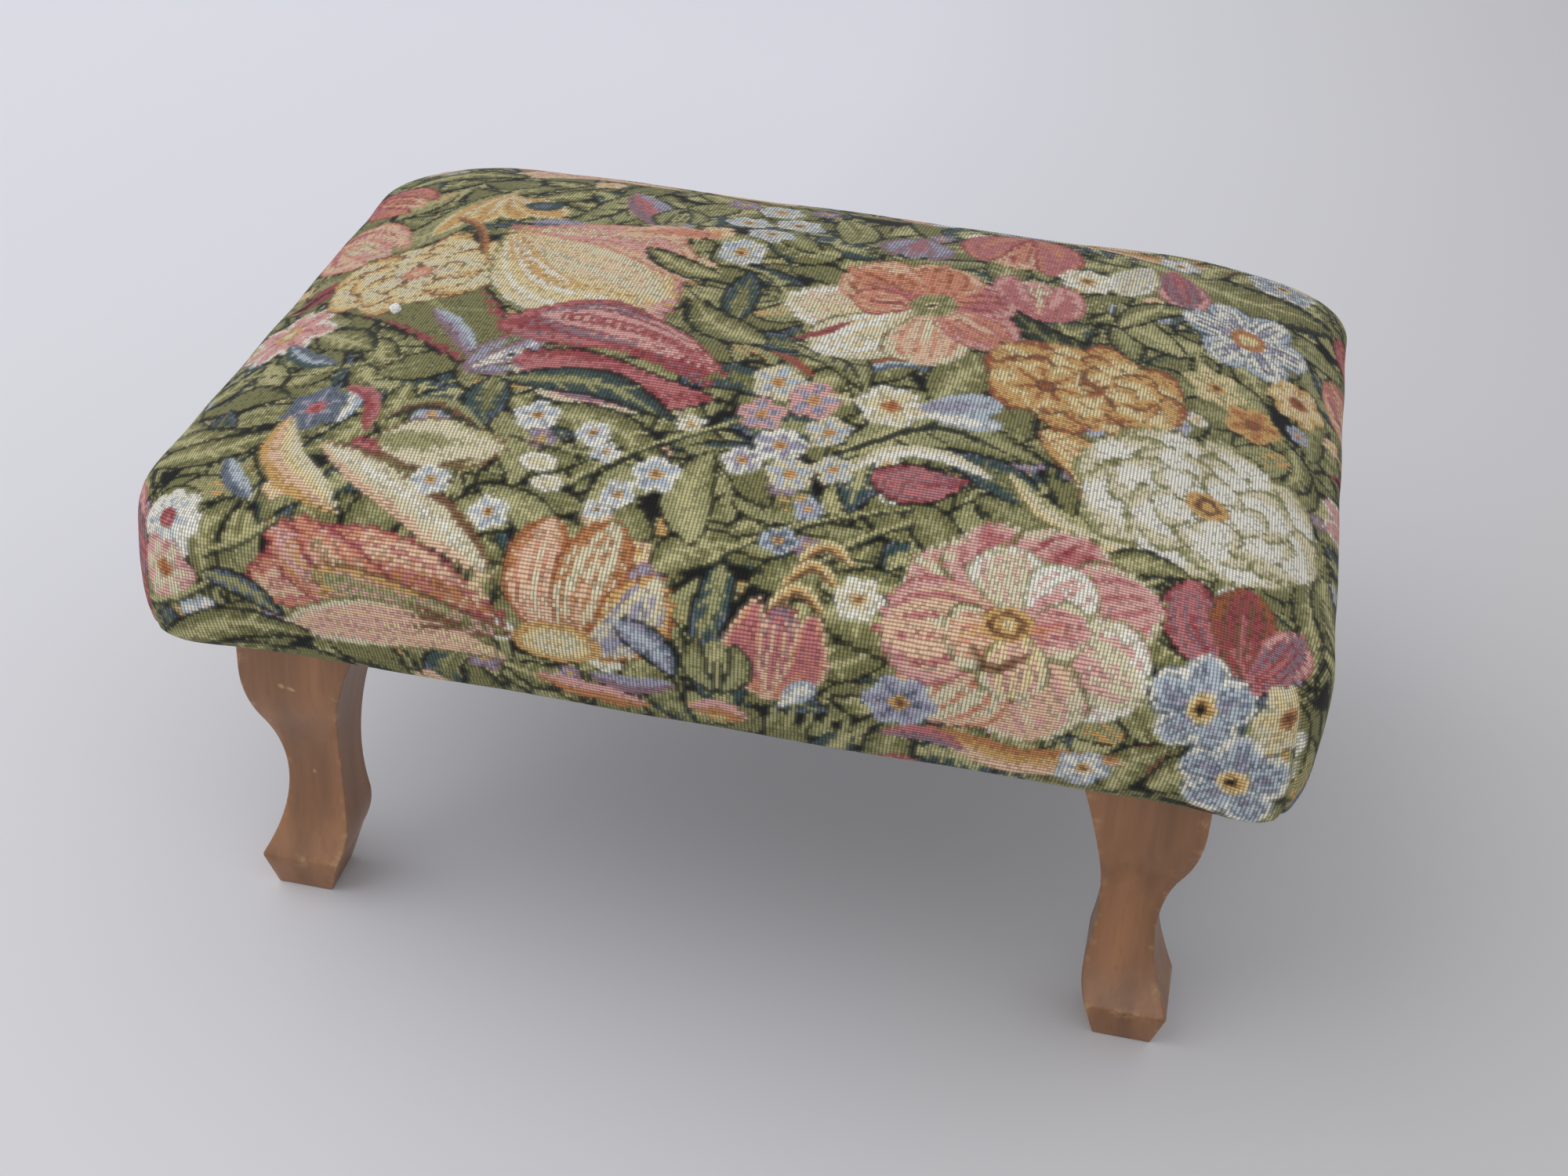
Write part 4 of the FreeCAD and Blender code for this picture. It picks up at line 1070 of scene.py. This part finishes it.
dust_low, dust_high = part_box("dust_cover")
DUST_LENGTH = dust_high.x * 2
DUST_WIDTH = dust_high.y * 2
DUST_CLOTH = 0.4 * MM
DUST_RIPPLE = 0.15 * MM
DUST_RIPPLE_PITCH = (11, 13)
DUST_RIPPLE_DRIFT = (23, 31)
DUST_COLUMNS = 74
DUST_ROWS = 54
DUST_SHARP_ANGLE = 40
STAPLE_CROWN = 10 * MM
STAPLE_WIRE = 0.6 * MM
STAPLE_PITCH = 34 * MM
STAPLE_INSET = 7 * MM
STAPLE_SUNK = 0.2
STAPLE_ROUND = 0.25


def dust_cover_cloth():
    """Thin cloth under the frame, with the slight ripples that stapling pulls into it."""
    deselect_all()
    bpy.ops.mesh.primitive_grid_add(x_subdivisions=DUST_COLUMNS, y_subdivisions=DUST_ROWS, size=2)
    cloth = bpy.context.object
    cloth.name = "dust_cover_cloth"
    cloth.scale = (DUST_LENGTH / 2, DUST_WIDTH / 2, 1)
    cloth.location = (0, 0, dust_low.z + DUST_CLOTH)
    bpy.ops.object.transform_apply(location=True, rotation=False, scale=True)
    places = coordinates(cloth)
    x = places[:, 0] / MM
    y = places[:, 1] / MM
    ripple = (np.sin(x / DUST_RIPPLE_PITCH[0] + np.sin(y / DUST_RIPPLE_DRIFT[0]))
              * np.sin(y / DUST_RIPPLE_PITCH[1] + np.sin(x / DUST_RIPPLE_DRIFT[1])))
    places[:, 2] += DUST_RIPPLE * ripple
    move_vertices(cloth, places)
    skin = cloth.modifiers.new("cloth_thickness", "SOLIDIFY")
    skin.thickness = DUST_CLOTH
    skin.offset = 0
    bpy.ops.object.modifier_apply(modifier="cloth_thickness")
    bpy.ops.object.shade_smooth_by_angle(angle=math.radians(DUST_SHARP_ANGLE))
    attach(cloth, "root")
    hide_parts("dust_cover")
    return cloth


def staple_places():
    """Middles and headings of the staples, just inside the edge of the dust cover."""
    places = []
    half_length = DUST_LENGTH / 2
    half_width = DUST_WIDTH / 2
    for half, other, turned in ((half_length, half_width, False), (half_width, half_length, True)):
        count = int(half * 2 / STAPLE_PITCH)
        for number in range(count):
            along = (number + 0.5) / count * half * 2 - half
            for side in (-1, 1):
                across = side * (other - STAPLE_INSET)
                places.append((across, along, True) if turned else (along, across, False))
    return places


def staples():
    """The crowns of the staples, on the cloth from below."""
    level = dust_low.z + STAPLE_WIRE * STAPLE_SUNK
    lengthwise = (STAPLE_CROWN, STAPLE_WIRE, STAPLE_WIRE)
    crosswise = (STAPLE_WIRE, STAPLE_CROWN, STAPLE_WIRE)
    for x, y, turned in staple_places():
        bpy.ops.mesh.primitive_cube_add(size=1, location=(x, y, level))
        crown = bpy.context.object
        crown.scale = crosswise if turned else lengthwise
        yield crown


def stapled_edge():
    deselect_all()
    crowns = list(staples())
    deselect_all()
    for crown in crowns:
        crown.select_set(True)
    bpy.context.view_layer.objects.active = crowns[0]
    bpy.ops.object.join()
    edge = bpy.context.object
    edge.name = "dust_cover_staples"
    bpy.ops.object.transform_apply(location=True, rotation=False, scale=True)
    rounding = edge.modifiers.new("wire_round", "BEVEL")
    rounding.width = STAPLE_WIRE * STAPLE_ROUND
    rounding.segments = 1
    bpy.ops.object.modifier_apply(modifier="wire_round")
    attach(edge, "root")
    return edge


dust_cloth = dust_cover_cloth()
staple_piece = stapled_edge()


# A white speck of cotton caught in the cloth, near the back left

SPECK_U = -140
SPECK_V = -25
SPECK_RADIUS = 2.1 * MM
SPECK_LUMP = 0.12
SPECK_RAISED = 0.5


def cotton_speck(cover):
    cut = cut_places(cover) / MM
    gap = np.hypot(cut[:, 0] - SPECK_U, cut[:, 1] - SPECK_V) + np.abs(cut[:, 2])
    place = coordinates(cover)[gap.argmin()]
    deselect_all()
    bpy.ops.mesh.primitive_ico_sphere_add(subdivisions=4, radius=SPECK_RADIUS)
    speck = bpy.context.object
    speck.name = "cotton_speck"
    places = coordinates(speck)
    x, y, z = (places / MM).T
    lump = 1 + SPECK_LUMP * np.sin(x * 3 + 2 * np.sin(y * 2)) * np.sin(y * 4 + z * 3)
    move_vertices(speck, places * lump[:, None] + place + np.array([0, 0, SPECK_RADIUS * SPECK_RAISED]))
    bpy.ops.object.shade_smooth()
    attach(speck, "root")
    return speck


speck = cotton_speck(cover)


# Materials

class Recipe:
    """Short names for joining the nodes of a material or a group."""

    def __init__(self, tree):
        self.tree = tree

    def node(self, kind, **settings):
        made = self.tree.nodes.new(kind)
        for key, value in settings.items():
            setattr(made, key, value)
        return made

    def join(self, source, target):
        if hasattr(source, "is_output"):
            self.tree.links.new(source, target)
        else:
            target.default_value = source

    def maths(self, operation, first, second=0.0, clamp=False):
        made = self.node("ShaderNodeMath", operation=operation, use_clamp=clamp)
        self.join(first, made.inputs[0])
        self.join(second, made.inputs[1])
        return made.outputs[0]

    def wave(self, value, turn=math.pi):
        """Rounded humps: 0 at each multiple of pi over turn, 1 halfway between."""
        return self.maths("ABSOLUTE", self.maths("SINE", self.maths("MULTIPLY", value, turn)))

    def blend(self, share, first, second, mode="MIX"):
        made = self.node("ShaderNodeMix", data_type="RGBA", blend_type=mode)
        self.join(share, made.inputs[0])
        self.join(first, made.inputs[6])
        self.join(second, made.inputs[7])
        return made.outputs[2]

    def noise(self, vector, scale, detail=3.0, roughness=0.6):
        made = self.node("ShaderNodeTexNoise")
        self.join(vector, made.inputs["Vector"])
        made.inputs["Scale"].default_value = scale
        made.inputs["Detail"].default_value = detail
        made.inputs["Roughness"].default_value = roughness
        return made.outputs[0]

    def stretched(self, vector, scale):
        made = self.node("ShaderNodeMapping")
        self.join(vector, made.inputs["Vector"])
        made.inputs["Scale"].default_value = scale
        return made.outputs[0]

    def level(self, value, low, high):
        made = self.node("ShaderNodeMapRange")
        self.join(value, made.inputs[0])
        made.inputs[1].default_value = low
        made.inputs[2].default_value = high
        return made.outputs[0]


def new_group(name, inputs, outputs):
    group = bpy.data.node_groups.new(name, "ShaderNodeTree")
    for label, kind in inputs:
        group.interface.new_socket(label, in_out="INPUT", socket_type=kind)
    for label, kind in outputs:
        group.interface.new_socket(label, in_out="OUTPUT", socket_type=kind)
    recipe = Recipe(group)
    entry = group.nodes.new("NodeGroupInput")
    leave = group.nodes.new("NodeGroupOutput")
    return recipe, entry, leave


DARK_PICK_FROM = 0.84
DARK_PICK_SHADE = 0.38
YARN_UNEVENNESS = 0.16
YARN_LEAST = 0.88
VALLEY_SHADE = 0.26


def weave_group():
    """Ribs along the warp, floats across it: how light each point of a thread is, with painted shade in the
    valleys between threads, and how high.
    """
    recipe, entry, leave = new_group(
        "tapestry_threads",
        [("Threads", "NodeSocketVector"), ("Floats", "NodeSocketFloat")],
        [("Shade", "NodeSocketFloat"), ("Height", "NodeSocketFloat")])
    parts = recipe.node("ShaderNodeSeparateXYZ")
    recipe.join(entry.outputs["Threads"], parts.inputs[0])
    ribs = recipe.wave(parts.outputs[0])
    picks = recipe.wave(parts.outputs[1])
    rib_round = recipe.maths("POWER", ribs, 0.8)
    rib_height = recipe.maths("MULTIPLY", rib_round, recipe.maths("POWER", picks, 0.25))
    float_round = recipe.maths("POWER", picks, 0.8)
    float_height = recipe.maths("MULTIPLY", float_round, recipe.maths("POWER", ribs, 0.2))
    height = recipe.node("ShaderNodeMix", data_type="FLOAT")
    recipe.join(entry.outputs["Floats"], height.inputs[0])
    recipe.join(rib_height, height.inputs[2])
    recipe.join(float_height, height.inputs[3])
    cell = recipe.node("ShaderNodeVectorMath", operation="FLOOR")
    recipe.join(entry.outputs["Threads"], cell.inputs[0])
    chance = recipe.node("ShaderNodeTexWhiteNoise", noise_dimensions="2D")
    recipe.join(cell.outputs[0], chance.inputs[0])
    dark_pick = recipe.maths("GREATER_THAN", chance.outputs[0], DARK_PICK_FROM)
    uneven = recipe.maths("ADD", recipe.maths("MULTIPLY", chance.outputs[0], YARN_UNEVENNESS), YARN_LEAST)
    # Painted shade: the yarn is darkened in the valleys between threads, down to VALLEY_SHADE at the
    # lowest.
    painted_valley_shade = recipe.maths("MULTIPLY", height.outputs[0], 1 - VALLEY_SHADE)
    painted_valley_shade = recipe.maths("ADD", painted_valley_shade, VALLEY_SHADE)
    # Painted valley shade times the uneven yarn.
    valley_shade_and_uneven_yarn = recipe.maths("MULTIPLY", painted_valley_shade, uneven)
    dimming = recipe.maths("SUBTRACT", 1.0, recipe.maths("MULTIPLY", dark_pick, DARK_PICK_SHADE))
    recipe.join(recipe.maths("MULTIPLY", valley_shade_and_uneven_yarn, dimming), leave.inputs["Shade"])
    recipe.join(height.outputs[0], leave.inputs["Height"])
    return recipe.tree


def grain_group():
    """Long streaks along one direction, for wood."""
    recipe, entry, leave = new_group(
        "wood_streaks",
        [("Place", "NodeSocketVector")],
        [("Streak", "NodeSocketFloat"), ("Pores", "NodeSocketFloat")])
    streak = recipe.noise(entry.outputs["Place"], 60, 4, 0.6)
    pores = recipe.noise(entry.outputs["Place"], 420, 2, 0.7)
    recipe.join(recipe.level(streak, 0.35, 0.68), leave.inputs["Streak"])
    recipe.join(recipe.level(pores, 0.55, 0.75), leave.inputs["Pores"])
    return recipe.tree


def yarn_group():
    """Plain yarns crossing over and under, for the cloths that are not pictured."""
    recipe, entry, leave = new_group(
        "plain_yarns",
        [("Place", "NodeSocketVector"), ("Pitch", "NodeSocketFloat")],
        [("Height", "NodeSocketFloat")])
    turn = recipe.maths("DIVIDE", math.pi, entry.outputs["Pitch"])
    parts = recipe.node("ShaderNodeSeparateXYZ")
    recipe.join(entry.outputs["Place"], parts.inputs[0])
    lengthwise = recipe.wave(parts.outputs[0], turn)
    crosswise = recipe.wave(parts.outputs[1], turn)
    recipe.join(recipe.maths("MULTIPLY", lengthwise, crosswise), leave.inputs["Height"])
    return recipe.tree


weave_nodes = weave_group()
grain_nodes = grain_group()
yarn_nodes = yarn_group()


def new_material(name, roughness):
    material = bpy.data.materials.new(name)
    material.use_nodes = True
    shader = material.node_tree.nodes["Principled BSDF"]
    shader.inputs["Roughness"].default_value = roughness
    return material, Recipe(material.node_tree), shader


def add_bump(recipe, shader, height, distance, strength):
    bump = recipe.node("ShaderNodeBump")
    bump.inputs["Distance"].default_value = distance
    bump.inputs["Strength"].default_value = strength
    recipe.join(height, bump.inputs["Height"])
    recipe.join(bump.outputs[0], shader.inputs["Normal"])


def light(*colour):
    return (*[float(share) for share in linear(colour)], 1.0)


YARN_BLEND = 0.5


def tapestry_material():
    material, recipe, shader = new_material("tapestry", roughness=0.92)
    shader.inputs["Sheen Weight"].default_value = 0.05
    shader.inputs["Sheen Roughness"].default_value = 0.5
    shader.inputs["Specular IOR Level"].default_value = 0.2
    flat = recipe.node("ShaderNodeUVMap", uv_map="OFBake")
    threads = recipe.stretched(flat.outputs[0], (CLOTH_EXTENT / THREAD,) * 3)
    yarn = recipe.node("ShaderNodeAttribute", attribute_name="yarn")
    floats = recipe.node("ShaderNodeAttribute", attribute_name="floats")
    weave = recipe.node("ShaderNodeGroup")
    weave.node_tree = weave_nodes
    recipe.join(threads, weave.inputs["Threads"])
    recipe.join(floats.outputs["Fac"], weave.inputs["Floats"])
    shade = recipe.node("ShaderNodeCombineColor")
    for channel in range(3):
        recipe.join(weave.outputs["Shade"], shade.inputs[channel])
    soft_yarn = recipe.node("ShaderNodeAttribute", attribute_name="yarn_blend")
    mixed = recipe.blend(YARN_BLEND, yarn.outputs["Color"], soft_yarn.outputs["Color"])
    # The yarn colour is multiplied by the Shade output, which holds painted shade in the valleys between
    # threads as well as uneven yarn and dark picks.
    woven = recipe.blend(1.0, mixed, shade.outputs[0], "MULTIPLY")
    place = recipe.node("ShaderNodeTexCoord")
    faded = recipe.level(recipe.noise(place.outputs["Object"], 9, 3), 0.3, 0.8)
    dusty = recipe.maths("MULTIPLY", faded, 0.02)
    recipe.join(recipe.blend(dusty, woven, light(168, 160, 142)), shader.inputs["Base Color"])
    fibres = recipe.noise(threads, 3.0, 2, 0.7)
    height = recipe.maths("ADD", weave.outputs["Height"], recipe.maths("MULTIPLY", fibres, 0.35))
    add_bump(recipe, shader, height, 0.3 * MM, 0.55)
    return material


def wood_material(name, dark, middle, along, roughness, coat, pale=None, wear=0):
    """Streaked wood; a stained piece also shows bare wood along its worn arrises."""
    material, recipe, shader = new_material(name, roughness)
    shader.inputs["Coat Weight"].default_value = coat
    shader.inputs["Coat Roughness"].default_value = 0.35
    place = recipe.node("ShaderNodeTexCoord")
    fibres = recipe.stretched(place.outputs["Object"], along)
    grain = recipe.node("ShaderNodeGroup")
    grain.node_tree = grain_nodes
    recipe.join(fibres, grain.inputs["Place"])
    colour = recipe.blend(grain.outputs["Streak"], light(*dark), light(*middle))
    colour = recipe.blend(recipe.maths("MULTIPLY", grain.outputs["Pores"], 0.5), colour, light(*dark))
    if wear:
        arris = recipe.node("ShaderNodeAttribute", attribute_name="arris")
        patchy = recipe.level(recipe.noise(place.outputs["Object"], 160, 4, 0.7), 0.52, 0.66)
        worn = recipe.maths("MULTIPLY", recipe.maths("MULTIPLY", arris.outputs["Fac"], patchy), wear, True)
        chips = recipe.level(recipe.noise(place.outputs["Object"], 95, 2, 0.5), 0.74, 0.77)
        worn = recipe.maths("MAXIMUM", worn, recipe.maths("MULTIPLY", chips, 0.5))
        colour = recipe.blend(worn, colour, light(*pale))
    recipe.join(colour, shader.inputs["Base Color"])
    add_bump(recipe, shader, grain.outputs["Pores"], 0.08 * MM, 0.3)
    return material


def cloth_material(name, dark, pale, pitch, roughness):
    material, recipe, shader = new_material(name, roughness)
    place = recipe.node("ShaderNodeTexCoord")
    yarns = recipe.node("ShaderNodeGroup")
    yarns.node_tree = yarn_nodes
    recipe.join(place.outputs["Object"], yarns.inputs["Place"])
    yarns.inputs["Pitch"].default_value = pitch
    uneven = recipe.noise(place.outputs["Object"], 90, 4)
    # Painted shade: the colour runs from dark where the yarns dip between crossings to pale on their tops,
    # mixed with uneven yarn colour.
    share = recipe.maths("MULTIPLY", yarns.outputs["Height"], recipe.level(uneven, 0.2, 0.7))
    recipe.join(recipe.blend(share, light(*dark), light(*pale)), shader.inputs["Base Color"])
    add_bump(recipe, shader, yarns.outputs["Height"], pitch * 0.2, 0.5)
    return material


def fluffy_material(name, dark, pale, scale):
    """Wadding and foam: fine lumps with a little shade between them."""
    material, recipe, shader = new_material(name, roughness=0.95)
    place = recipe.node("ShaderNodeTexCoord")
    lumps = recipe.noise(place.outputs["Object"], scale, 5, 0.7)
    colour = recipe.blend(recipe.level(lumps, 0.3, 0.65), light(*dark), light(*pale))
    recipe.join(colour, shader.inputs["Base Color"])
    add_bump(recipe, shader, lumps, 0.4 * MM, 0.6)
    return material


def steel_material():
    material, recipe, shader = new_material("zinc_steel", roughness=0.4)
    shader.inputs["Metallic"].default_value = 1.0
    place = recipe.node("ShaderNodeTexCoord")
    bloom = recipe.level(recipe.noise(place.outputs["Object"], 300, 4), 0.3, 0.7)
    colour = recipe.blend(bloom, light(186, 186, 180), light(214, 212, 204))
    recipe.join(colour, shader.inputs["Base Color"])
    recipe.join(recipe.maths("ADD", recipe.maths("MULTIPLY", bloom, 0.2), 0.28), shader.inputs["Roughness"])
    return material


materials = {
    "tapestry": tapestry_material(),
    "leg_wood": wood_material("leg_wood", dark=(110, 74, 45), middle=(146, 100, 63), pale=(196, 160, 116),
                              along=(1, 1, 0.05), roughness=0.42, coat=0.25, wear=0.45),
    "frame_wood": wood_material("frame_wood", dark=(186, 146, 98), middle=(222, 190, 146),
                                along=(0.1, 0.1, 1), roughness=0.7, coat=0),
    "wadding": fluffy_material("wadding", (206, 204, 198), (240, 240, 236), 500),
    "foam": fluffy_material("foam", (206, 186, 136), (238, 224, 184), 900),
    "hessian": cloth_material("hessian", (92, 72, 48), (176, 148, 110), 1.6 * MM, 0.9),
    "webbing": cloth_material("webbing", (96, 84, 64), (182, 166, 134), 2.2 * MM, 0.9),
    "dust_cloth": cloth_material("dust_cloth", (22, 22, 23), (48, 48, 50), 0.9 * MM, 0.85),
    "zinc_steel": steel_material(),
}

for piece, slot in [(cover, "tapestry"), (dust_cloth, "dust_cloth"), (staple_piece, "zinc_steel"),
                    (speck, "wadding"), *[(leg, "leg_wood") for leg in legs]]:
    piece.data.materials.clear()
    piece.data.materials.append(materials[slot])

KEPT_NODES = {
    "wadding": ["wadding_wrap"],
    "foam": ["foam_pad"],
    "hessian": ["hessian_cloth"],
    "webbing": ["webbing_long_front", "webbing_long_back", "webbing_cross_left", "webbing_cross_middle",
                "webbing_cross_right"],
    "frame_wood": ["front_rail", "back_rail", "left_rail", "right_rail", "rail_dowels",
                   "corner_block_front_left", "corner_block_front_right", "corner_block_back_left",
                   "corner_block_back_right"],
    "zinc_steel": ["block_screws", "hanger_bolts", "leg_washers", "leg_nuts"],
}
for slot, names in KEPT_NODES.items():
    for name in names:
        node_mesh = frame["nodes"][name].data
        node_mesh.materials.clear()
        node_mesh.materials.append(materials[slot])


# Floor, light and camera

# Where the painted light on the floor runs, in metres: painted lighter from near to far, painted shade from
# left to right.
PAINTED_LIGHT_NEAR = -0.35
PAINTED_LIGHT_FAR = 0.75
PAINTED_SHADE_LEFT = -0.1
PAINTED_SHADE_RIGHT = 0.6
FLOOR_SIZE = 12
ROOM_COLOUR = (0.83, 0.83, 0.86, 1)
ROOM_LIGHT = 0.88


def paper_material():
    """Pale paper with painted light: painted lighter towards the back and the left, with painted shade
    towards the right.
    """
    material, recipe, shader = new_material("floor_paper", roughness=0.8)
    place = recipe.node("ShaderNodeTexCoord")
    parts = recipe.node("ShaderNodeSeparateXYZ")
    recipe.join(place.outputs["Object"], parts.inputs[0])
    # Painted light: the paper is painted lighter towards the back, and painted shade darkens it towards the
    # right, standing in for the falloff of the window light.
    back = recipe.level(parts.outputs[1], PAINTED_LIGHT_NEAR, PAINTED_LIGHT_FAR)
    painted_shade_share = recipe.level(parts.outputs[0], PAINTED_SHADE_LEFT, PAINTED_SHADE_RIGHT)
    paper = recipe.blend(back, light(208, 208, 211), light(219, 220, 226))
    recipe.join(recipe.blend(painted_shade_share, paper, light(184, 183, 181)), shader.inputs["Base Color"])
    return material


def floor():
    deselect_all()
    bpy.ops.mesh.primitive_plane_add(size=FLOOR_SIZE, location=(0, 0, 0))
    ground = bpy.context.object
    ground.name = "studio_floor"
    ground.data.materials.append(paper_material())


def lamp(name, size, power, place, aim):
    data = bpy.data.lights.new(name, "AREA")
    data.shape = "DISK"
    data.size = size
    data.energy = power
    thing = bpy.data.objects.new(name, data)
    bpy.context.scene.collection.objects.link(thing)
    thing.location = place
    thing.rotation_euler = (Vector(aim) - Vector(place)).to_track_quat("-Z", "Y").to_euler()
    return thing


def lights():
    lamp("window_light", size=3.2, power=30, place=(-1.7, -0.6, 2.1), aim=(0, 0, 0.1))
    lamp("room_fill", size=2.0, power=9, place=(0.2, -2.4, 0.7), aim=(0, 0, 0.08))
    world = bpy.data.worlds.new("room")
    world.use_nodes = True
    background = world.node_tree.nodes["Background"]
    background.inputs["Color"].default_value = ROOM_COLOUR
    background.inputs["Strength"].default_value = ROOM_LIGHT
    bpy.context.scene.world = world


IMAGE_WIDTH = 2000
CAMERA_AZIMUTH = 10.22
CAMERA_ELEVATION = 33.88
CAMERA_ROLL = 3.46
CAMERA_DISTANCE = 0.9187
CAMERA_TARGET = (0.0011, 0.0001, 0.0903)
FOCAL_PIXELS = 3025
SENSOR_WIDTH = 36


def camera():
    azimuth = math.radians(CAMERA_AZIMUTH)
    elevation = math.radians(CAMERA_ELEVATION)
    roll = math.radians(CAMERA_ROLL)
    back = Vector((math.sin(azimuth) * math.cos(elevation),
                   -math.cos(azimuth) * math.cos(elevation),
                   math.sin(elevation)))
    level = Vector((0, 0, 1)).cross(back).normalized()
    upright = back.cross(level)
    right = level * math.cos(roll) + upright * math.sin(roll)
    up = upright * math.cos(roll) - level * math.sin(roll)
    data = bpy.data.cameras.new("camera")
    data.sensor_width = SENSOR_WIDTH
    data.lens = FOCAL_PIXELS / IMAGE_WIDTH * SENSOR_WIDTH
    thing = bpy.data.objects.new("camera", data)
    bpy.context.scene.collection.objects.link(thing)
    turn = Matrix((right, up, back)).transposed().to_4x4()
    thing.matrix_world = Matrix.Translation(Vector(CAMERA_TARGET) + back * CAMERA_DISTANCE) @ turn
    bpy.context.scene.camera = thing


floor()
lights()
camera()
bpy.context.scene.view_settings.view_transform = "Standard"
